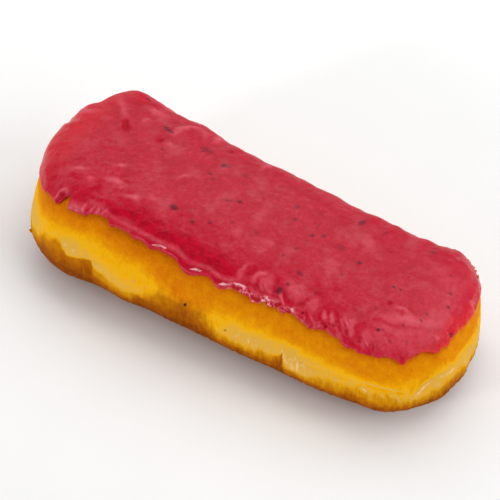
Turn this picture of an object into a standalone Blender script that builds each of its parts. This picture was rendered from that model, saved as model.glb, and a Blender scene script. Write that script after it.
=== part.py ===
"""Long john doughnut: a bar of fried yeast dough under a sheet of berry icing.

The bar lies along X on the table plane z = 0, its broader end at -X and its front side facing -Y.
Two coordinates place everything on it. "Place" is how far round the bar a point is, in millimetres
from the middle of the left end, going by the front. "Turn" is how far up the side it is, in degrees:
-90 is the middle of the underside, 0 the widest line of the side, and 90 the middle of the top.
"""

import math
import random

import bmesh
import bpy
import numpy as np
from mathutils import Vector, noise

MM = 0.001

# The bar of dough, in millimetres
LENGTH = 165.0
WIDTH_LEFT = 69.0
WIDTH_RIGHT = 61.0
HEIGHT = 36.0
END_REACH = 30.0  # how far along the bar each rounded end takes
WIDEST_AT = 14.0  # height of the widest line of the side
SINK = 2.0  # how much of the round underside is flattened away where the bar rests
TAPER = 0.18  # the left end is this share of the height taller than the right end
SKEW = 0.06  # how far the ends lean round towards the back
SHIFT_X, SHIFT_Y = -0.78, 0.75  # brings the middle of the uneven bar's box over the origin

# Powers of the superellipses: 2 is an ellipse, and more is squarer
ROUND_ABOVE = 2.8
ROUND_BELOW = 2.6
LEFT_FRONT_CORNER = 2.3
LEFT_BACK_CORNER = 2.4
RIGHT_FRONT_CORNER = 2.5
RIGHT_BACK_CORNER = 2.7

# Places round the bar
SIDE_RUN = LENGTH - 2 * END_REACH
END_GIRTH = 100.0
GIRTH = 2 * (SIDE_RUN + END_GIRTH)
FRONT_START = END_GIRTH / 2
RIGHT_START = FRONT_START + SIDE_RUN
BACK_START = RIGHT_START + END_GIRTH
LEFT_START = BACK_START + SIDE_RUN

# Where the dough swelled or stayed back as it rose:
# place, reach to each side, push outwards at the shoulder, push outwards at the foot
SWELLS = (
    (4, 13, 1.4, 0.0),
    (12, 18, -0.9, -0.2),
    (31, 16, -2.3, 0.7),
    (49, 14, 0.0, 1.4),
    (68, 20, 0.0, 0.3),
    (73, 10, 0.0, 0.9),
    (95, 26, 0.1, 0.7),
    (119, 24, 0.2, 1.0),
    (143, 15, 0.0, 0.9),
    (168, 15, -0.3, -1.3),
    (170, 9, 0.0, 0.9),
    (184, 12, -0.4, -1.2),
    (198, 15, 0.1, 0.7),
    (205, 7, 0.0, 0.9),
    (216, 18, 0.7, 1.6),
    (236, 16, 2.9, 1.4),
    (245, 10, 2.4, 0.0),
    (253, 17, 1.3, 0.3),
    (270, 12, 1.1, 0.0),
    (332, 18, -0.9, -0.2),
    (343, 20, 0.9, 0.0),
    (365, 14, 0.4, 0.0),
    (374, 10, 1.9, 0.0),
    (379, 15, 3.7, 0.5),
    (395, 12, 1.1, 0.0),
)

SHOULDER_FROM, SHOULDER_OVER = -10.0, 50.0  # foot becomes shoulder from this turn, over these degrees

# Low rounded lobes and hollows of the side: place, turn, reach along, reach up in degrees, push
LOBES = (
    (46, 4, 8, 16, 0.5),
    (56, 0, 6, 15, 0.6),
    (73, 8, 11, 16, 0.5),
    (96, 0, 12, 18, -0.5),
    (129, 0, 7, 16, -0.7),
    (142, 4, 9, 18, 0.4),
    (172, 4, 10, 14, 0.4),
    (200, 2, 12, 16, 0.4),
    (262, 0, 16, 18, 0.5),
    (300, 2, 14, 16, -0.5),
    (340, 0, 15, 18, 0.6),
    (398, 2, 12, 16, -0.4),
)

# The proof line, where the dough lay folded against itself as it rose: place, turn
PROOF_LINE = (
    (138, 13),
    (148, 12.5),
    (157, 14),
    (173, 15),
    (178, 11),
    (182, 6.5),
    (185, 9),
    (188, 17),
    (204, 19),
    (222, 15),
    (246, 14),
)
PROOF_HALF_WIDTH = 5.4  # degrees
PROOF_DEPTH = 0.6
PROOF_FADE = 8.0  # mm over which the groove dies out at each end

# The icing sheet, with a bead along its lip and a shallow hollow above the bead
ICING_THICKNESS = 1.7
ICING_GAP = 0.3
BEAD_AT, BEAD_REACH, BEAD_HEIGHT = 1.3, 2.2, 0.35
HOLLOW_AT, HOLLOW_REACH, HOLLOW_DEPTH = 4.6, 3.2, 0.35
MM_PER_DEGREE = 0.55  # distance up the shoulder for each degree of turn

# Turn at which the icing stops, round the bar: place, turn
ICING_EDGE = (
    (0, 33.5),
    (14, 31.5),
    (30, 34.5),
    (38, 40),
    (44, 41.5),
    (52, 43),
    (60, 47.5),
    (68, 45),
    (85, 43.8),
    (104, 42.4),
    (118, 43),
    (133, 43.8),
    (150, 43),
    (165, 41),
    (188, 42),
    (194, 37),
    (206, 36),
    (213, 33.5),
    (222, 30.5),
    (236, 29),
    (252, 31),
    (290, 38),
    (330, 42),
    (365, 37),
    (390, 36),
)

# Drips that run below that line, and with a minus sign nicks that rise above it: place, reach, degrees
FRONT_DRIPS = (
    (41.6, 1.6, 1.0),
    (64.5, 2.5, 2.0),
    (74, 2.5, 1.2),
    (81, 3, 1.6),
    (96.5, 7, 4.2),
    (109, 5, 3.4),
    (122.5, 3.5, 1.6),
    (127.5, 2.5, 1.6),
    (132, 2, 1.4),
    (142, 4.5, 2.8),
    (148, 2.5, -1.5),
    (157, 4, 2.6),
    (176.5, 3.2, 2.6),
)
NOTCH_AT, NOTCH_RISE = 45.0, 7.0  # place, degrees
NOTCH_HALF, NOTCH_SIDE = 2.0, 0.8  # half width, and the distance over which a side of it rises
BACK_DRIPS = 13
BACK_FROM, BACK_TO = 244.0, 404.0
BACK_REACH = (3.5, 7.0)
BACK_DROP = (-1.5, 3.5)
TORN_FROM, TORN_TO, TORN_FADE = 114.0, 206.0, 6.0  # stretch of the front whose edge is torn
RIPPLE, RIPPLE_SIZE = 0.35, 7.0  # degrees and mm, all round
TORN_RIPPLE, TORN_RIPPLE_SIZE = 0.9, 4.0  # degrees and mm, along the torn stretch
NOISE_GAIN = 1.6  # brings Blender's noise to about -1 to 1

# Folds of the icing that run down to the torn stretch: place, lean, height
FOLDS = (
    (133, 0.25, 0.4),
    (143, 0.25, 0.45),
    (151.5, 0.25, 0.4),
    (158, 0.25, 0.3),
    (165, 0.3, 0.45),
    (172, 0.3, 0.3),
    (181, 0.3, 0.25),
)
FOLD_WIDTH = 2.6
FOLD_FOOT, FOLD_TOP = 42.0, 62.0  # turns between which a fold runs
FOLD_FADE = 14.0  # degrees over which its upper end dies out

# Broad swirls that the spatula left on the top: x, y, reach along, reach across, heading, height
SWIRLS = (
    (-58, 9, 15, 6, 20, 0.3),
    (-42, 18, 14, 6, 10, 0.35),
    (-48, -8, 16, 6, 0, 0.3),
    (-20, 14, 20, 7, -5, 0.3),
    (8, -2, 22, 7, 8, 0.25),
    (40, 10, 20, 7, -8, 0.3),
    (60, -12, 15, 6, 25, 0.45),
)
SWIRL_BEND = 0.012  # mm across for each square mm along

# Grid of the meshes
SIDE_STATIONS = 48
END_STATIONS = 36
DOUGH_TURNS_BELOW = (-90, -76, -66)
DOUGH_TURNS_SIDE = (-45, -34, -24, -15, -7, 0, 6, 12, 18, 24, 30, 36, 42, 48, 55, 63, 73, 90)
LIP = ((0.35, ICING_GAP), (0.0, 0.75), (0.0, 1.3), (0.35, 1.9))  # mm up from the edge, mm above the dough
ICING_OUTSIDE = (1.3, 2.9, 4.6, 6.6, 9.5, 13.0, 17.0, 22.0, 28.0, 35.0)  # mm up from the edge
ICING_INSIDE = (2.5, 6.0, 10.5, 16.0, 23.0)
MOST_UP = 0.93  # share of the way up to the spine that the rows above may take
SEED = 7


def smooth(share):
    """Ease from 0 to 1 as the share goes from 0 to 1."""
    share = np.clip(share, 0.0, 1.0)
    return share * share * (3 - 2 * share)


def apart(place, other):
    """Distance between two places the short way round the bar."""
    return np.abs(np.mod(place - other + GIRTH / 2, GIRTH) - GIRTH / 2)


def hump(distance, reach):
    """A rounded hump: 1 in the middle, 0 from reach outwards."""
    return np.where(distance < reach, 0.5 + 0.5 * np.cos(np.pi * np.minimum(distance / reach, 1.0)), 0.0)


def along_loop(place, pairs):
    """Smooth value at each place of a loop given as (place, value) pairs."""
    places = np.array([pair[0] for pair in pairs] + [pairs[0][0] + GIRTH], float)
    values = np.array([pair[1] for pair in pairs] + [pairs[0][1]], float)
    place = np.mod(place - places[0], GIRTH) + places[0]
    span = np.clip(np.searchsorted(places, place, side="right") - 1, 0, len(pairs) - 1)
    share = smooth((place - places[span]) / (places[span + 1] - places[span]))
    return values[span] + (values[span + 1] - values[span]) * share


def side_arm(place):
    """Spine point and arm out to the widest line, for places on the front or the back."""
    front = place < RIGHT_START
    x = np.where(front, place - FRONT_START, BACK_START + SIDE_RUN - place) - SIDE_RUN / 2
    width = WIDTH_LEFT + (WIDTH_RIGHT - WIDTH_LEFT) * (x / SIDE_RUN + 0.5)
    return x, np.zeros_like(x), np.where(front, -1, 1) * width / 2


def end_arm(place):
    """The same for places on a rounded end, half of a superellipse that leans a little to the back."""
    right = (place >= RIGHT_START) & (place < BACK_START)
    from_tip = np.where(
        right,
        place - RIGHT_START - END_GIRTH / 2,
        np.where(place < FRONT_START, -place, GIRTH - place),
    )
    swing = from_tip / END_GIRTH * np.pi
    back = swing > 0
    power = np.where(
        right,
        np.where(back, RIGHT_BACK_CORNER, RIGHT_FRONT_CORNER),
        np.where(back, LEFT_BACK_CORNER, LEFT_FRONT_CORNER),
    )
    half = np.where(right, WIDTH_RIGHT, WIDTH_LEFT) / 2
    across = (np.abs(np.cos(swing)) / END_REACH) ** power + (np.abs(np.sin(swing)) / half) ** power
    lean = np.where(right, -SKEW, SKEW) * np.cos(swing) ** 2 * np.sin(2 * swing)
    reach = across ** (-1 / power) * (1 + lean)
    outwards = np.where(right, 1, -1)
    return outwards * SIDE_RUN / 2, outwards * reach * np.cos(swing), reach * np.sin(swing)


def plan(place):
    """Spine x, arm x and arm y for each place."""
    place = np.mod(place, GIRTH)
    on_front = (place >= FRONT_START) & (place < RIGHT_START)
    on_back = (place >= BACK_START) & (place < LEFT_START)
    return [np.where(on_front | on_back, a, b) for a, b in zip(side_arm(place), end_arm(place))]


def profile(turn):
    """How far out along the arm, as a share, and how high, for each turn."""
    angle = np.radians(turn)
    power = np.where(angle >= 0, ROUND_ABOVE, ROUND_BELOW)
    rise = np.where(angle >= 0, HEIGHT - WIDEST_AT, WIDEST_AT + SINK)
    across, up = np.abs(np.cos(angle)), np.abs(np.sin(angle))
    grow = (across**power + up**power) ** (-1 / power)
    return across * grow, np.maximum(WIDEST_AT + np.sign(angle) * rise * up * grow, 0.0)


def foot_turn():
    """The turn at which the round side meets the flat underside."""
    up = WIDEST_AT / (WIDEST_AT + SINK)
    across = (1 - up**ROUND_BELOW) ** (1 / ROUND_BELOW)
    return -math.degrees(math.atan2(up, across))


def proof_groove(place, turn):
    """Depth share of the groove along the proof line."""
    places = [point[0] for point in PROOF_LINE]
    line = np.interp(place, places, [point[1] for point in PROOF_LINE])
    ends = smooth((place - places[0]) / PROOF_FADE) * smooth((places[-1] - place) / PROOF_FADE)
    return hump(np.abs(turn - line), PROOF_HALF_WIDTH) * ends


def push_out(place, turn):
    """How far the dough stands out from its plain form, in millimetres."""
    shoulder = smooth((turn - SHOULDER_FROM) / SHOULDER_OVER)
    push = np.zeros(np.broadcast(place, turn).shape)
    for at, reach, up, down in SWELLS:
        push += hump(apart(place, at), reach) * (up * shoulder + down * (1 - shoulder))
    for at, level, reach, reach_up, out in LOBES:
        push += out * hump(apart(place, at), reach) * hump(np.abs(turn - level), reach_up)
    return push - PROOF_DEPTH * proof_groove(np.mod(place, GIRTH), turn)


def dough_points(place, turn):
    """Points of the dough's surface in millimetres, for places and turns of the same shape."""
    x, arm_x, arm_y = plan(place)
    out, z = profile(turn)
    out = out * (1 + push_out(place, turn) / np.hypot(arm_x, arm_y))
    x = x + arm_x * out
    return np.stack([x, arm_y * out, z * (1 - TAPER * x / LENGTH)], axis=-1)


def dough_normals(place, turn):
    """Directions straight out of the dough's surface."""
    step = 0.2
    ahead = dough_points(place + step, turn) - dough_points(place - step, turn)
    # near the top, looking up the side would pass over the spine, so both steps stay below it
    top = np.minimum(turn + step, 89.5)
    up = dough_points(place, top) - dough_points(place, top - 2 * step)
    across = np.cross(ahead, up)
    size = np.linalg.norm(across, axis=-1, keepdims=True)
    straight_up = np.array([0.0, 0.0, 1.0])
    return np.where((turn > 88)[..., None] | (size < 1e-9), straight_up, across / np.maximum(size, 1e-9))


def ripple(place, size, layer):
    """Smooth unevenness from -1 to 1 that closes on itself round the bar."""
    radius = GIRTH / size / (2 * math.pi)
    swing = np.asarray(place) / GIRTH * 2 * math.pi
    circle = np.stack([radius * np.cos(swing), radius * np.sin(swing), np.full_like(swing, layer)], axis=-1)
    values = [noise.noise(Vector(point)) for point in circle.reshape(-1, 3)]
    return np.reshape(values, np.shape(swing)) * NOISE_GAIN


def back_drips():
    """Drips for the side away from the front, spaced by a seeded draw."""
    draw = random.Random(SEED)
    for count in range(BACK_DRIPS):
        at = BACK_FROM + (BACK_TO - BACK_FROM) * (count + draw.uniform(0.25, 0.75)) / BACK_DRIPS
        yield at, draw.uniform(*BACK_REACH), draw.uniform(*BACK_DROP)


def icing_edge(place):
    """Turn at which the icing stops at each place."""
    turn = along_loop(place, ICING_EDGE)
    for at, reach, drop in FRONT_DRIPS + tuple(back_drips()):
        turn = turn - drop * hump(apart(place, at), reach)
    turn = turn + NOTCH_RISE * smooth((NOTCH_HALF - apart(place, NOTCH_AT)) / NOTCH_SIDE)
    torn = smooth((place - TORN_FROM) / TORN_FADE) * smooth((TORN_TO - place) / TORN_FADE)
    turn = turn + ripple(place, RIPPLE_SIZE, 0.3) * RIPPLE
    return turn + ripple(place, TORN_RIPPLE_SIZE, 5.3) * TORN_RIPPLE * torn


def fold_height(place, turn):
    """Height of the folds that run down to the torn stretch of the edge."""
    height = np.zeros(np.shape(turn))
    for at, lean, tall in FOLDS:
        centre = at + lean * (turn - FOLD_FOOT)
        height += tall * hump(apart(place, centre), FOLD_WIDTH)
    return height * smooth((FOLD_TOP - turn) / FOLD_FADE)


def swirl_height(x, y):
    """Height of the spatula's swirls on the top."""
    height = np.zeros(np.shape(x))
    for at_x, at_y, along, across, heading, tall in SWIRLS:
        turned = math.radians(heading)
        run = (x - at_x) * math.cos(turned) + (y - at_y) * math.sin(turned)
        # each swirl bends a little, as the spatula's path did
        off = (y - at_y) * math.cos(turned) - (x - at_x) * math.sin(turned) + SWIRL_BEND * run * run
        height += tall * hump(np.abs(run), along) * hump(np.abs(off), across)
    return height


def bmesh_of_grid(points):
    """Blender's grid closed round the bar, its vertices moved to points[station, row] in millimetres."""
    stations, rows = points.shape[:2]
    mesh = bmesh.new()
    bmesh.ops.create_grid(mesh, x_segments=stations, y_segments=rows - 1, size=1.0)
    closed = np.concatenate([points, points[:1]]) + np.array([SHIFT_X, SHIFT_Y, 0.0])
    for vertex in mesh.verts:
        station = round((vertex.co.x + 1) / 2 * stations)
        row = round((vertex.co.y + 1) / 2 * (rows - 1))
        vertex.co = Vector(closed[station, row]) * MM
    # the first and last stations meet, and so do the rows that end on the spine
    bmesh.ops.remove_doubles(mesh, verts=mesh.verts, dist=1e-6)
    bmesh.ops.recalc_face_normals(mesh, faces=mesh.faces)
    return mesh


def stations():
    """Places round the bar, alike on the front and the back so that both meet on the spine."""
    side = (np.arange(SIDE_STATIONS) + 0.5) / SIDE_STATIONS * SIDE_RUN
    end = (np.arange(END_STATIONS) + 0.5) / END_STATIONS * END_GIRTH
    starts = (FRONT_START, RIGHT_START, BACK_START, LEFT_START)
    return np.concatenate([start + run for start, run in zip(starts, (side, end, side, end))])


def dough_mesh():
    rows = DOUGH_TURNS_BELOW + (foot_turn(),) + DOUGH_TURNS_SIDE
    place, turn = np.meshgrid(stations(), np.array(rows, float), indexing="ij")
    return bmesh_of_grid(dough_points(place, turn))


def outside_lift(distance):
    """Height of the icing's outer surface above the dough, at a distance up from its edge."""
    bead = BEAD_HEIGHT * hump(abs(distance - BEAD_AT), BEAD_REACH)
    hollow = HOLLOW_DEPTH * hump(abs(distance - HOLLOW_AT), HOLLOW_REACH)
    return ICING_GAP + ICING_THICKNESS + float(bead - hollow)


def icing_rows():
    """Distance up from the edge and height above the dough: underside, lip, then outer face."""
    rows = [(math.inf, ICING_GAP)]
    rows += [(distance, ICING_GAP) for distance in reversed(ICING_INSIDE)]
    rows += LIP
    rows += [(distance, outside_lift(distance)) for distance in ICING_OUTSIDE]
    return rows + [(math.inf, ICING_GAP + ICING_THICKNESS)]


def turn_up_from(edge, distance):
    """The turn that lies a distance up from the icing's edge. An endless distance ends on the spine."""
    if math.isinf(distance):
        return np.full_like(edge, 90.0)
    return np.minimum(edge + distance / MM_PER_DEGREE, edge + (90 - edge) * MOST_UP)


def icing_mesh():
    place = stations()
    edge = icing_edge(place)
    points = []
    for distance, lift in icing_rows():
        turn = turn_up_from(edge, distance)
        base = dough_points(place, turn)
        height = np.full_like(turn, lift)
        if lift > ICING_GAP + ICING_THICKNESS / 2:
            height = height + fold_height(place, turn) + swirl_height(base[:, 0], base[:, 1])
        points.append(base + dough_normals(place, turn) * height[:, None])
    return bmesh_of_grid(np.stack(points, axis=1))


def material(name, colour, roughness):
    """A plain Principled material."""
    made = bpy.data.materials.new(name)
    made.use_nodes = True
    shader = made.node_tree.nodes["Principled BSDF"]
    shader.inputs["Base Color"].default_value = (*colour, 1.0)
    shader.inputs["Roughness"].default_value = roughness
    shader.inputs["Metallic"].default_value = 0.0
    return made


def add_object(name, mesh, finish, collection):
    """A smooth-shaded object made from a bmesh."""
    data = bpy.data.meshes.new(name)
    mesh.to_mesh(data)
    mesh.free()
    data.shade_smooth()
    data.materials.append(finish)
    made = bpy.data.objects.new(name, data)
    collection.objects.link(made)
    return made


def main():
    for old in list(bpy.data.objects):
        bpy.data.objects.remove(old, do_unlink=True)
    collection = bpy.data.collections.new("long_john_doughnut")
    bpy.context.scene.collection.children.link(collection)
    add_object("dough", dough_mesh(), material("fried dough", (0.60, 0.30, 0.03), 0.55), collection)
    add_object("icing", icing_mesh(), material("berry icing", (0.56, 0.04, 0.08), 0.30), collection)


main()
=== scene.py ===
# %% [markdown]
# # An iced long john doughnut
#
# This lesson dresses a bar of fried yeast dough and its sheet of berry icing. The packed model gives the
# size and the place of both, as two plain solids. Here each gets a fine surface, a finish made of nodes,
# and light to show it. The first step loads the packed model. Nothing may outgrow it.

# %% Load the packed model
import math
import random
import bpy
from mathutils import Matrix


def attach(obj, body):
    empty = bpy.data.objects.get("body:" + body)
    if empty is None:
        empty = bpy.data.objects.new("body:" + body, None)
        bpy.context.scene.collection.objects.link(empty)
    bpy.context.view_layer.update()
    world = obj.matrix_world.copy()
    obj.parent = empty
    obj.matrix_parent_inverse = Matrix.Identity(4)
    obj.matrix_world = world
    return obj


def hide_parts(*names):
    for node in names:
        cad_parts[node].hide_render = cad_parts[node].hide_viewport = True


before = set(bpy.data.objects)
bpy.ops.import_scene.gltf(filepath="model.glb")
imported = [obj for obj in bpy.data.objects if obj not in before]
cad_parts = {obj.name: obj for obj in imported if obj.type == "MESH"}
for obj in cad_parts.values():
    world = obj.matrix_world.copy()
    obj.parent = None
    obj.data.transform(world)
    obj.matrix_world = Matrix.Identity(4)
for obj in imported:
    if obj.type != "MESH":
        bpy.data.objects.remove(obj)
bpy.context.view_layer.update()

from types import SimpleNamespace

import bmesh
import bpy
import numpy as np
from mathutils import Vector, noise

MM = 0.001

# %% [markdown]
# ## Two coordinates for a bar
#
# Every mark on the bar is easiest to place the way a baker would point at it: how far round the bar, and
# how far up its side. "Place" is millimetres round the bar from the middle of the left end, going by the
# front. "Turn" is degrees up the side: -90 is the middle of the underside, 0 the widest line, 90 the
# middle of the top. The plan is a straight run with a rounded, slightly leaning end at each side, and the
# cross-section is a superellipse, an ellipse with squarer shoulders. The sizes are those of the solids.

# %% Sizes of the bar, in millimetres
LENGTH = 165.0
WIDTH_LEFT, WIDTH_RIGHT = 69.0, 61.0
HEIGHT = 36.0
END_REACH = 30.0  # how far along the bar each rounded end takes
WIDEST_AT = 14.0
SINK = 2.0  # how much of the round underside is flattened away where the bar rests
TAPER = 0.18  # the left end is this share of the height taller than the right end
SKEW = 0.06  # how far the ends lean round towards the back
SHIFT = np.array([-0.78, 0.75, 0.0])  # brings the middle of the uneven bar's box over the origin
ROUND_ABOVE, ROUND_BELOW = 2.8, 2.6
CORNERS_LEFT = (2.3, 2.4)  # squareness of the front and the back corner
CORNERS_RIGHT = (2.5, 2.7)
SIDE_RUN = LENGTH - 2 * END_REACH
END_GIRTH = 100.0
GIRTH = 2 * (SIDE_RUN + END_GIRTH)
FRONT_START = END_GIRTH / 2
RIGHT_START = FRONT_START + SIDE_RUN
BACK_START = RIGHT_START + END_GIRTH
LEFT_START = BACK_START + SIDE_RUN
print(f"the bar measures {GIRTH:.0f} mm round")

# %% Small helpers for shares and distances


def smooth(share):
    """Ease from 0 to 1 as the share goes from 0 to 1."""
    share = np.clip(share, 0.0, 1.0)
    return share * share * (3 - 2 * share)


def ease(value, start, end):
    """0 where the value is at the start or short of it, 1 at the end or past it."""
    return smooth((value - start) / (end - start))


def window(value, low, high, fade_low, fade_high):
    """1 between low and high, easing to 0 over the given width inside each of them."""
    return smooth((value - low) / fade_low) * smooth((high - value) / fade_high)


def tapered(along, steepness):
    """1 in the middle of a line, easing to 0 at both of its ends."""
    return smooth(np.minimum(along, 1 - along) * steepness)


def apart(place, other):
    """Distance between two places the short way round the bar."""
    return np.abs(np.mod(place - other + GIRTH / 2, GIRTH) - GIRTH / 2)


def hump(distance, reach):
    """A rounded hump: 1 in the middle, 0 from reach outwards."""
    return np.where(distance < reach, 0.5 + 0.5 * np.cos(np.pi * np.minimum(distance / reach, 1.0)), 0.0)


def along_loop(place, pairs):
    """Smooth value at each place of a loop given as (place, value) pairs."""
    places = np.array([pair[0] for pair in pairs] + [pairs[0][0] + GIRTH], float)
    values = np.array([pair[1] for pair in pairs] + [pairs[0][1]], float)
    place = np.mod(place - places[0], GIRTH) + places[0]
    span = np.clip(np.searchsorted(places, place, side="right") - 1, 0, len(pairs) - 1)
    share = smooth((place - places[span]) / (places[span + 1] - places[span]))
    return values[span] + (values[span + 1] - values[span]) * share


print("a hump of reach 2 is", *hump(np.array([0.0, 1.0, 2.0]), 2.0).round(2), "high at 0, 1 and 2")

# %% Plan and cross-section of the bar


def side_arm(place):
    """Spine point and arm out to the widest line, for places on the front or the back."""
    front = place < RIGHT_START
    x = np.where(front, place - FRONT_START, BACK_START + SIDE_RUN - place) - SIDE_RUN / 2
    width = WIDTH_LEFT + (WIDTH_RIGHT - WIDTH_LEFT) * (x / SIDE_RUN + 0.5)
    return x, np.zeros_like(x), np.where(front, -1, 1) * width / 2


def end_arm(place):
    """The same for places on a rounded end, which is half of a superellipse, leaned a little to the back."""
    right = (place >= RIGHT_START) & (place < BACK_START)
    left_tip = np.where(place < FRONT_START, -place, GIRTH - place)
    swing = np.where(right, place - RIGHT_START - END_GIRTH / 2, left_tip) / END_GIRTH * np.pi
    back = (swing > 0).astype(int)
    power = np.where(right, np.array(CORNERS_RIGHT)[back], np.array(CORNERS_LEFT)[back])
    half = np.where(right, WIDTH_RIGHT, WIDTH_LEFT) / 2
    across = (np.abs(np.cos(swing)) / END_REACH) ** power + (np.abs(np.sin(swing)) / half) ** power
    lean = np.where(right, -SKEW, SKEW) * np.cos(swing) ** 2 * np.sin(2 * swing)
    reach = across ** (-1 / power) * (1 + lean)
    outwards = np.where(right, 1, -1)
    return outwards * SIDE_RUN / 2, outwards * reach * np.cos(swing), reach * np.sin(swing)


def plan(place):
    """Spine x, arm x and arm y for each place."""
    place = np.mod(place, GIRTH)
    on_front = (place >= FRONT_START) & (place < RIGHT_START)
    on_back = (place >= BACK_START) & (place < LEFT_START)
    return [np.where(on_front | on_back, a, b) for a, b in zip(side_arm(place), end_arm(place))]


def profile(turn):
    """How far out along the arm, as a share, and how high, for each turn."""
    angle = np.radians(turn)
    power = np.where(angle >= 0, ROUND_ABOVE, ROUND_BELOW)
    rise = np.where(angle >= 0, HEIGHT - WIDEST_AT, WIDEST_AT + SINK)
    across, up = np.abs(np.cos(angle)), np.abs(np.sin(angle))
    grow = (across**power + up**power) ** (-1 / power)
    return across * grow, np.maximum(WIDEST_AT + np.sign(angle) * rise * up * grow, 0.0)


def foot_turn():
    """The turn at which the round side meets the flat underside."""
    up = WIDEST_AT / (WIDEST_AT + SINK)
    across = (1 - up**ROUND_BELOW) ** (1 / ROUND_BELOW)
    return -math.degrees(math.atan2(up, across))


print(f"the side leaves the table at turn {foot_turn():.1f}")

# %% [markdown]
# ## Where the dough swelled
#
# Proved dough is never an even bar. It bulges where the gluten was slack, stays back where it was tight,
# and folds against itself along a line. Sculpting would do it, but a few rounded humps in (place, turn)
# say the same thing in numbers that can be read and changed. They match the solids' own humps.

# %% Swells and lobes
# place, reach to each side, push outwards at the shoulder, push outwards at the foot
SWELLS = (
    (4, 13, 1.4, 0.0),
    (12, 18, -0.9, -0.2),
    (31, 16, -2.3, 0.7),
    (49, 14, 0.0, 1.4),
    (68, 20, 0.0, 0.3),
    (73, 10, 0.0, 0.9),
    (95, 26, 0.1, 0.7),
    (119, 24, 0.2, 1.0),
    (143, 15, 0.0, 0.9),
    (168, 15, -0.3, -1.3),
    (170, 9, 0.0, 0.9),
    (184, 12, -0.4, -1.2),
    (198, 15, 0.1, 0.7),
    (205, 7, 0.0, 0.9),
    (216, 18, 0.7, 1.6),
    (236, 16, 2.9, 1.4),
    (245, 10, 2.4, 0.0),
    (253, 17, 1.3, 0.3),
    (270, 12, 1.1, 0.0),
    (332, 18, -0.9, -0.2),
    (343, 20, 0.9, 0.0),
    (365, 14, 0.4, 0.0),
    (374, 10, 1.9, 0.0),
    (379, 15, 3.7, 0.5),
    (395, 12, 1.1, 0.0),
)
# place, turn, reach along, reach up in degrees, push
LOBES = (
    (46, 4, 8, 16, 0.5),
    (56, 0, 6, 15, 0.6),
    (73, 8, 11, 16, 0.5),
    (96, 0, 12, 18, -0.5),
    (129, 0, 7, 16, -0.7),
    (142, 4, 9, 18, 0.4),
    (172, 4, 10, 14, 0.4),
    (200, 2, 12, 16, 0.4),
    (262, 0, 16, 18, 0.5),
    (300, 2, 14, 16, -0.5),
    (340, 0, 15, 18, 0.6),
    (398, 2, 12, 16, -0.4),
)
print(len(SWELLS), "swells and", len(LOBES), "lobes")

# %% Surface of the swollen dough


def push_out(place, turn):
    """How far the dough stands out from its plain form, in millimetres."""
    shoulder = ease(turn, -10, 40)
    push = np.zeros(np.broadcast(place, turn).shape)
    for at, reach, up, down in SWELLS:
        push += hump(apart(place, at), reach) * (up * shoulder + down * (1 - shoulder))
    for at, level, reach, reach_up, out in LOBES:
        push += out * hump(apart(place, at), reach) * hump(np.abs(turn - level), reach_up)
    return push


def dough_points(place, turn):
    """Points of the dough's smooth surface in millimetres, for places and turns of the same shape."""
    x, arm_x, arm_y = plan(place)
    out, z = profile(turn)
    out = out * (1 + push_out(place, turn) / np.hypot(arm_x, arm_y))
    x = x + arm_x * out
    return np.stack([x, arm_y * out, z * (1 - TAPER * x / LENGTH)], axis=-1)


def dough_normals(place, turn):
    """Directions straight out of the dough's surface."""
    step = 0.2
    ahead = dough_points(place + step, turn) - dough_points(place - step, turn)
    # near the top, looking up the side would pass over the spine, so both steps stay below it
    top = np.minimum(turn + step, 89.5)
    up = dough_points(place, top) - dough_points(place, top - 2 * step)
    across = np.cross(ahead, up)
    size = np.linalg.norm(across, axis=-1, keepdims=True)
    flat = (turn > 88)[..., None] | (size < 1e-9)
    return np.where(flat, np.array([0.0, 0.0, 1.0]), across / np.maximum(size, 1e-9))


top_point = dough_points(np.array([0.0]), np.array([90.0]))[0]
print("the top of the left end is", round(float(top_point[2]), 1), "mm high")

# %% [markdown]
# ## A fine grid wrapped round the bar
#
# A surface that comes from two coordinates wants a grid: stations round the bar, rows up its side.
# Blender's own grid is made once, and its vertices are then moved all together with numpy, which takes a
# second where a loop over vertices would take a minute. The stations lie closer on the long sides, where
# the icing's edge has its small drips, and they mirror from front to back so that both halves meet on the
# spine.

# %% Stations and the grid helper
SIDE_STATIONS = 300
END_STATIONS = 190


def stations():
    """Places round the bar, alike on the front and the back."""
    side = (np.arange(SIDE_STATIONS) + 0.5) / SIDE_STATIONS * SIDE_RUN
    end = (np.arange(END_STATIONS) + 0.5) / END_STATIONS * END_GIRTH
    starts = (FRONT_START, RIGHT_START, BACK_START, LEFT_START)
    return np.concatenate([start + run for start, run in zip(starts, (side, end, side, end))])


def wrapped_grid(name, points, marks):
    """Object from points[station, row] in mm, closed round the bar, with an attribute for each mark."""
    columns, rows = points.shape[:2]
    mesh = bpy.data.meshes.new(name)
    grid = bmesh.new()
    bmesh.ops.create_grid(grid, x_segments=columns, y_segments=rows - 1, size=1.0)
    grid.to_mesh(mesh)
    grid.free()
    flat = np.empty(len(mesh.vertices) * 3)
    mesh.vertices.foreach_get("co", flat)
    flat = flat.reshape(-1, 3)
    column = np.rint((flat[:, 0] + 1) / 2 * columns).astype(int) % columns
    row = np.rint((flat[:, 1] + 1) / 2 * (rows - 1)).astype(int)
    mesh.vertices.foreach_set("co", ((points[column, row] + SHIFT) * MM).ravel())
    for mark, values in marks.items():
        layer = mesh.attributes.new(mark, "FLOAT", "POINT")
        layer.data.foreach_set("value", values[column, row].astype(np.float32))
    join = bmesh.new()
    join.from_mesh(mesh)
    bmesh.ops.remove_doubles(join, verts=join.verts, dist=2e-6)
    bmesh.ops.recalc_face_normals(join, faces=join.faces)
    join.to_mesh(mesh)
    join.free()
    mesh.shade_smooth()
    made = bpy.data.objects.new(name, mesh)
    bpy.context.scene.collection.objects.link(made)
    return made


print(len(stations()), "stations round the bar")

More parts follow.
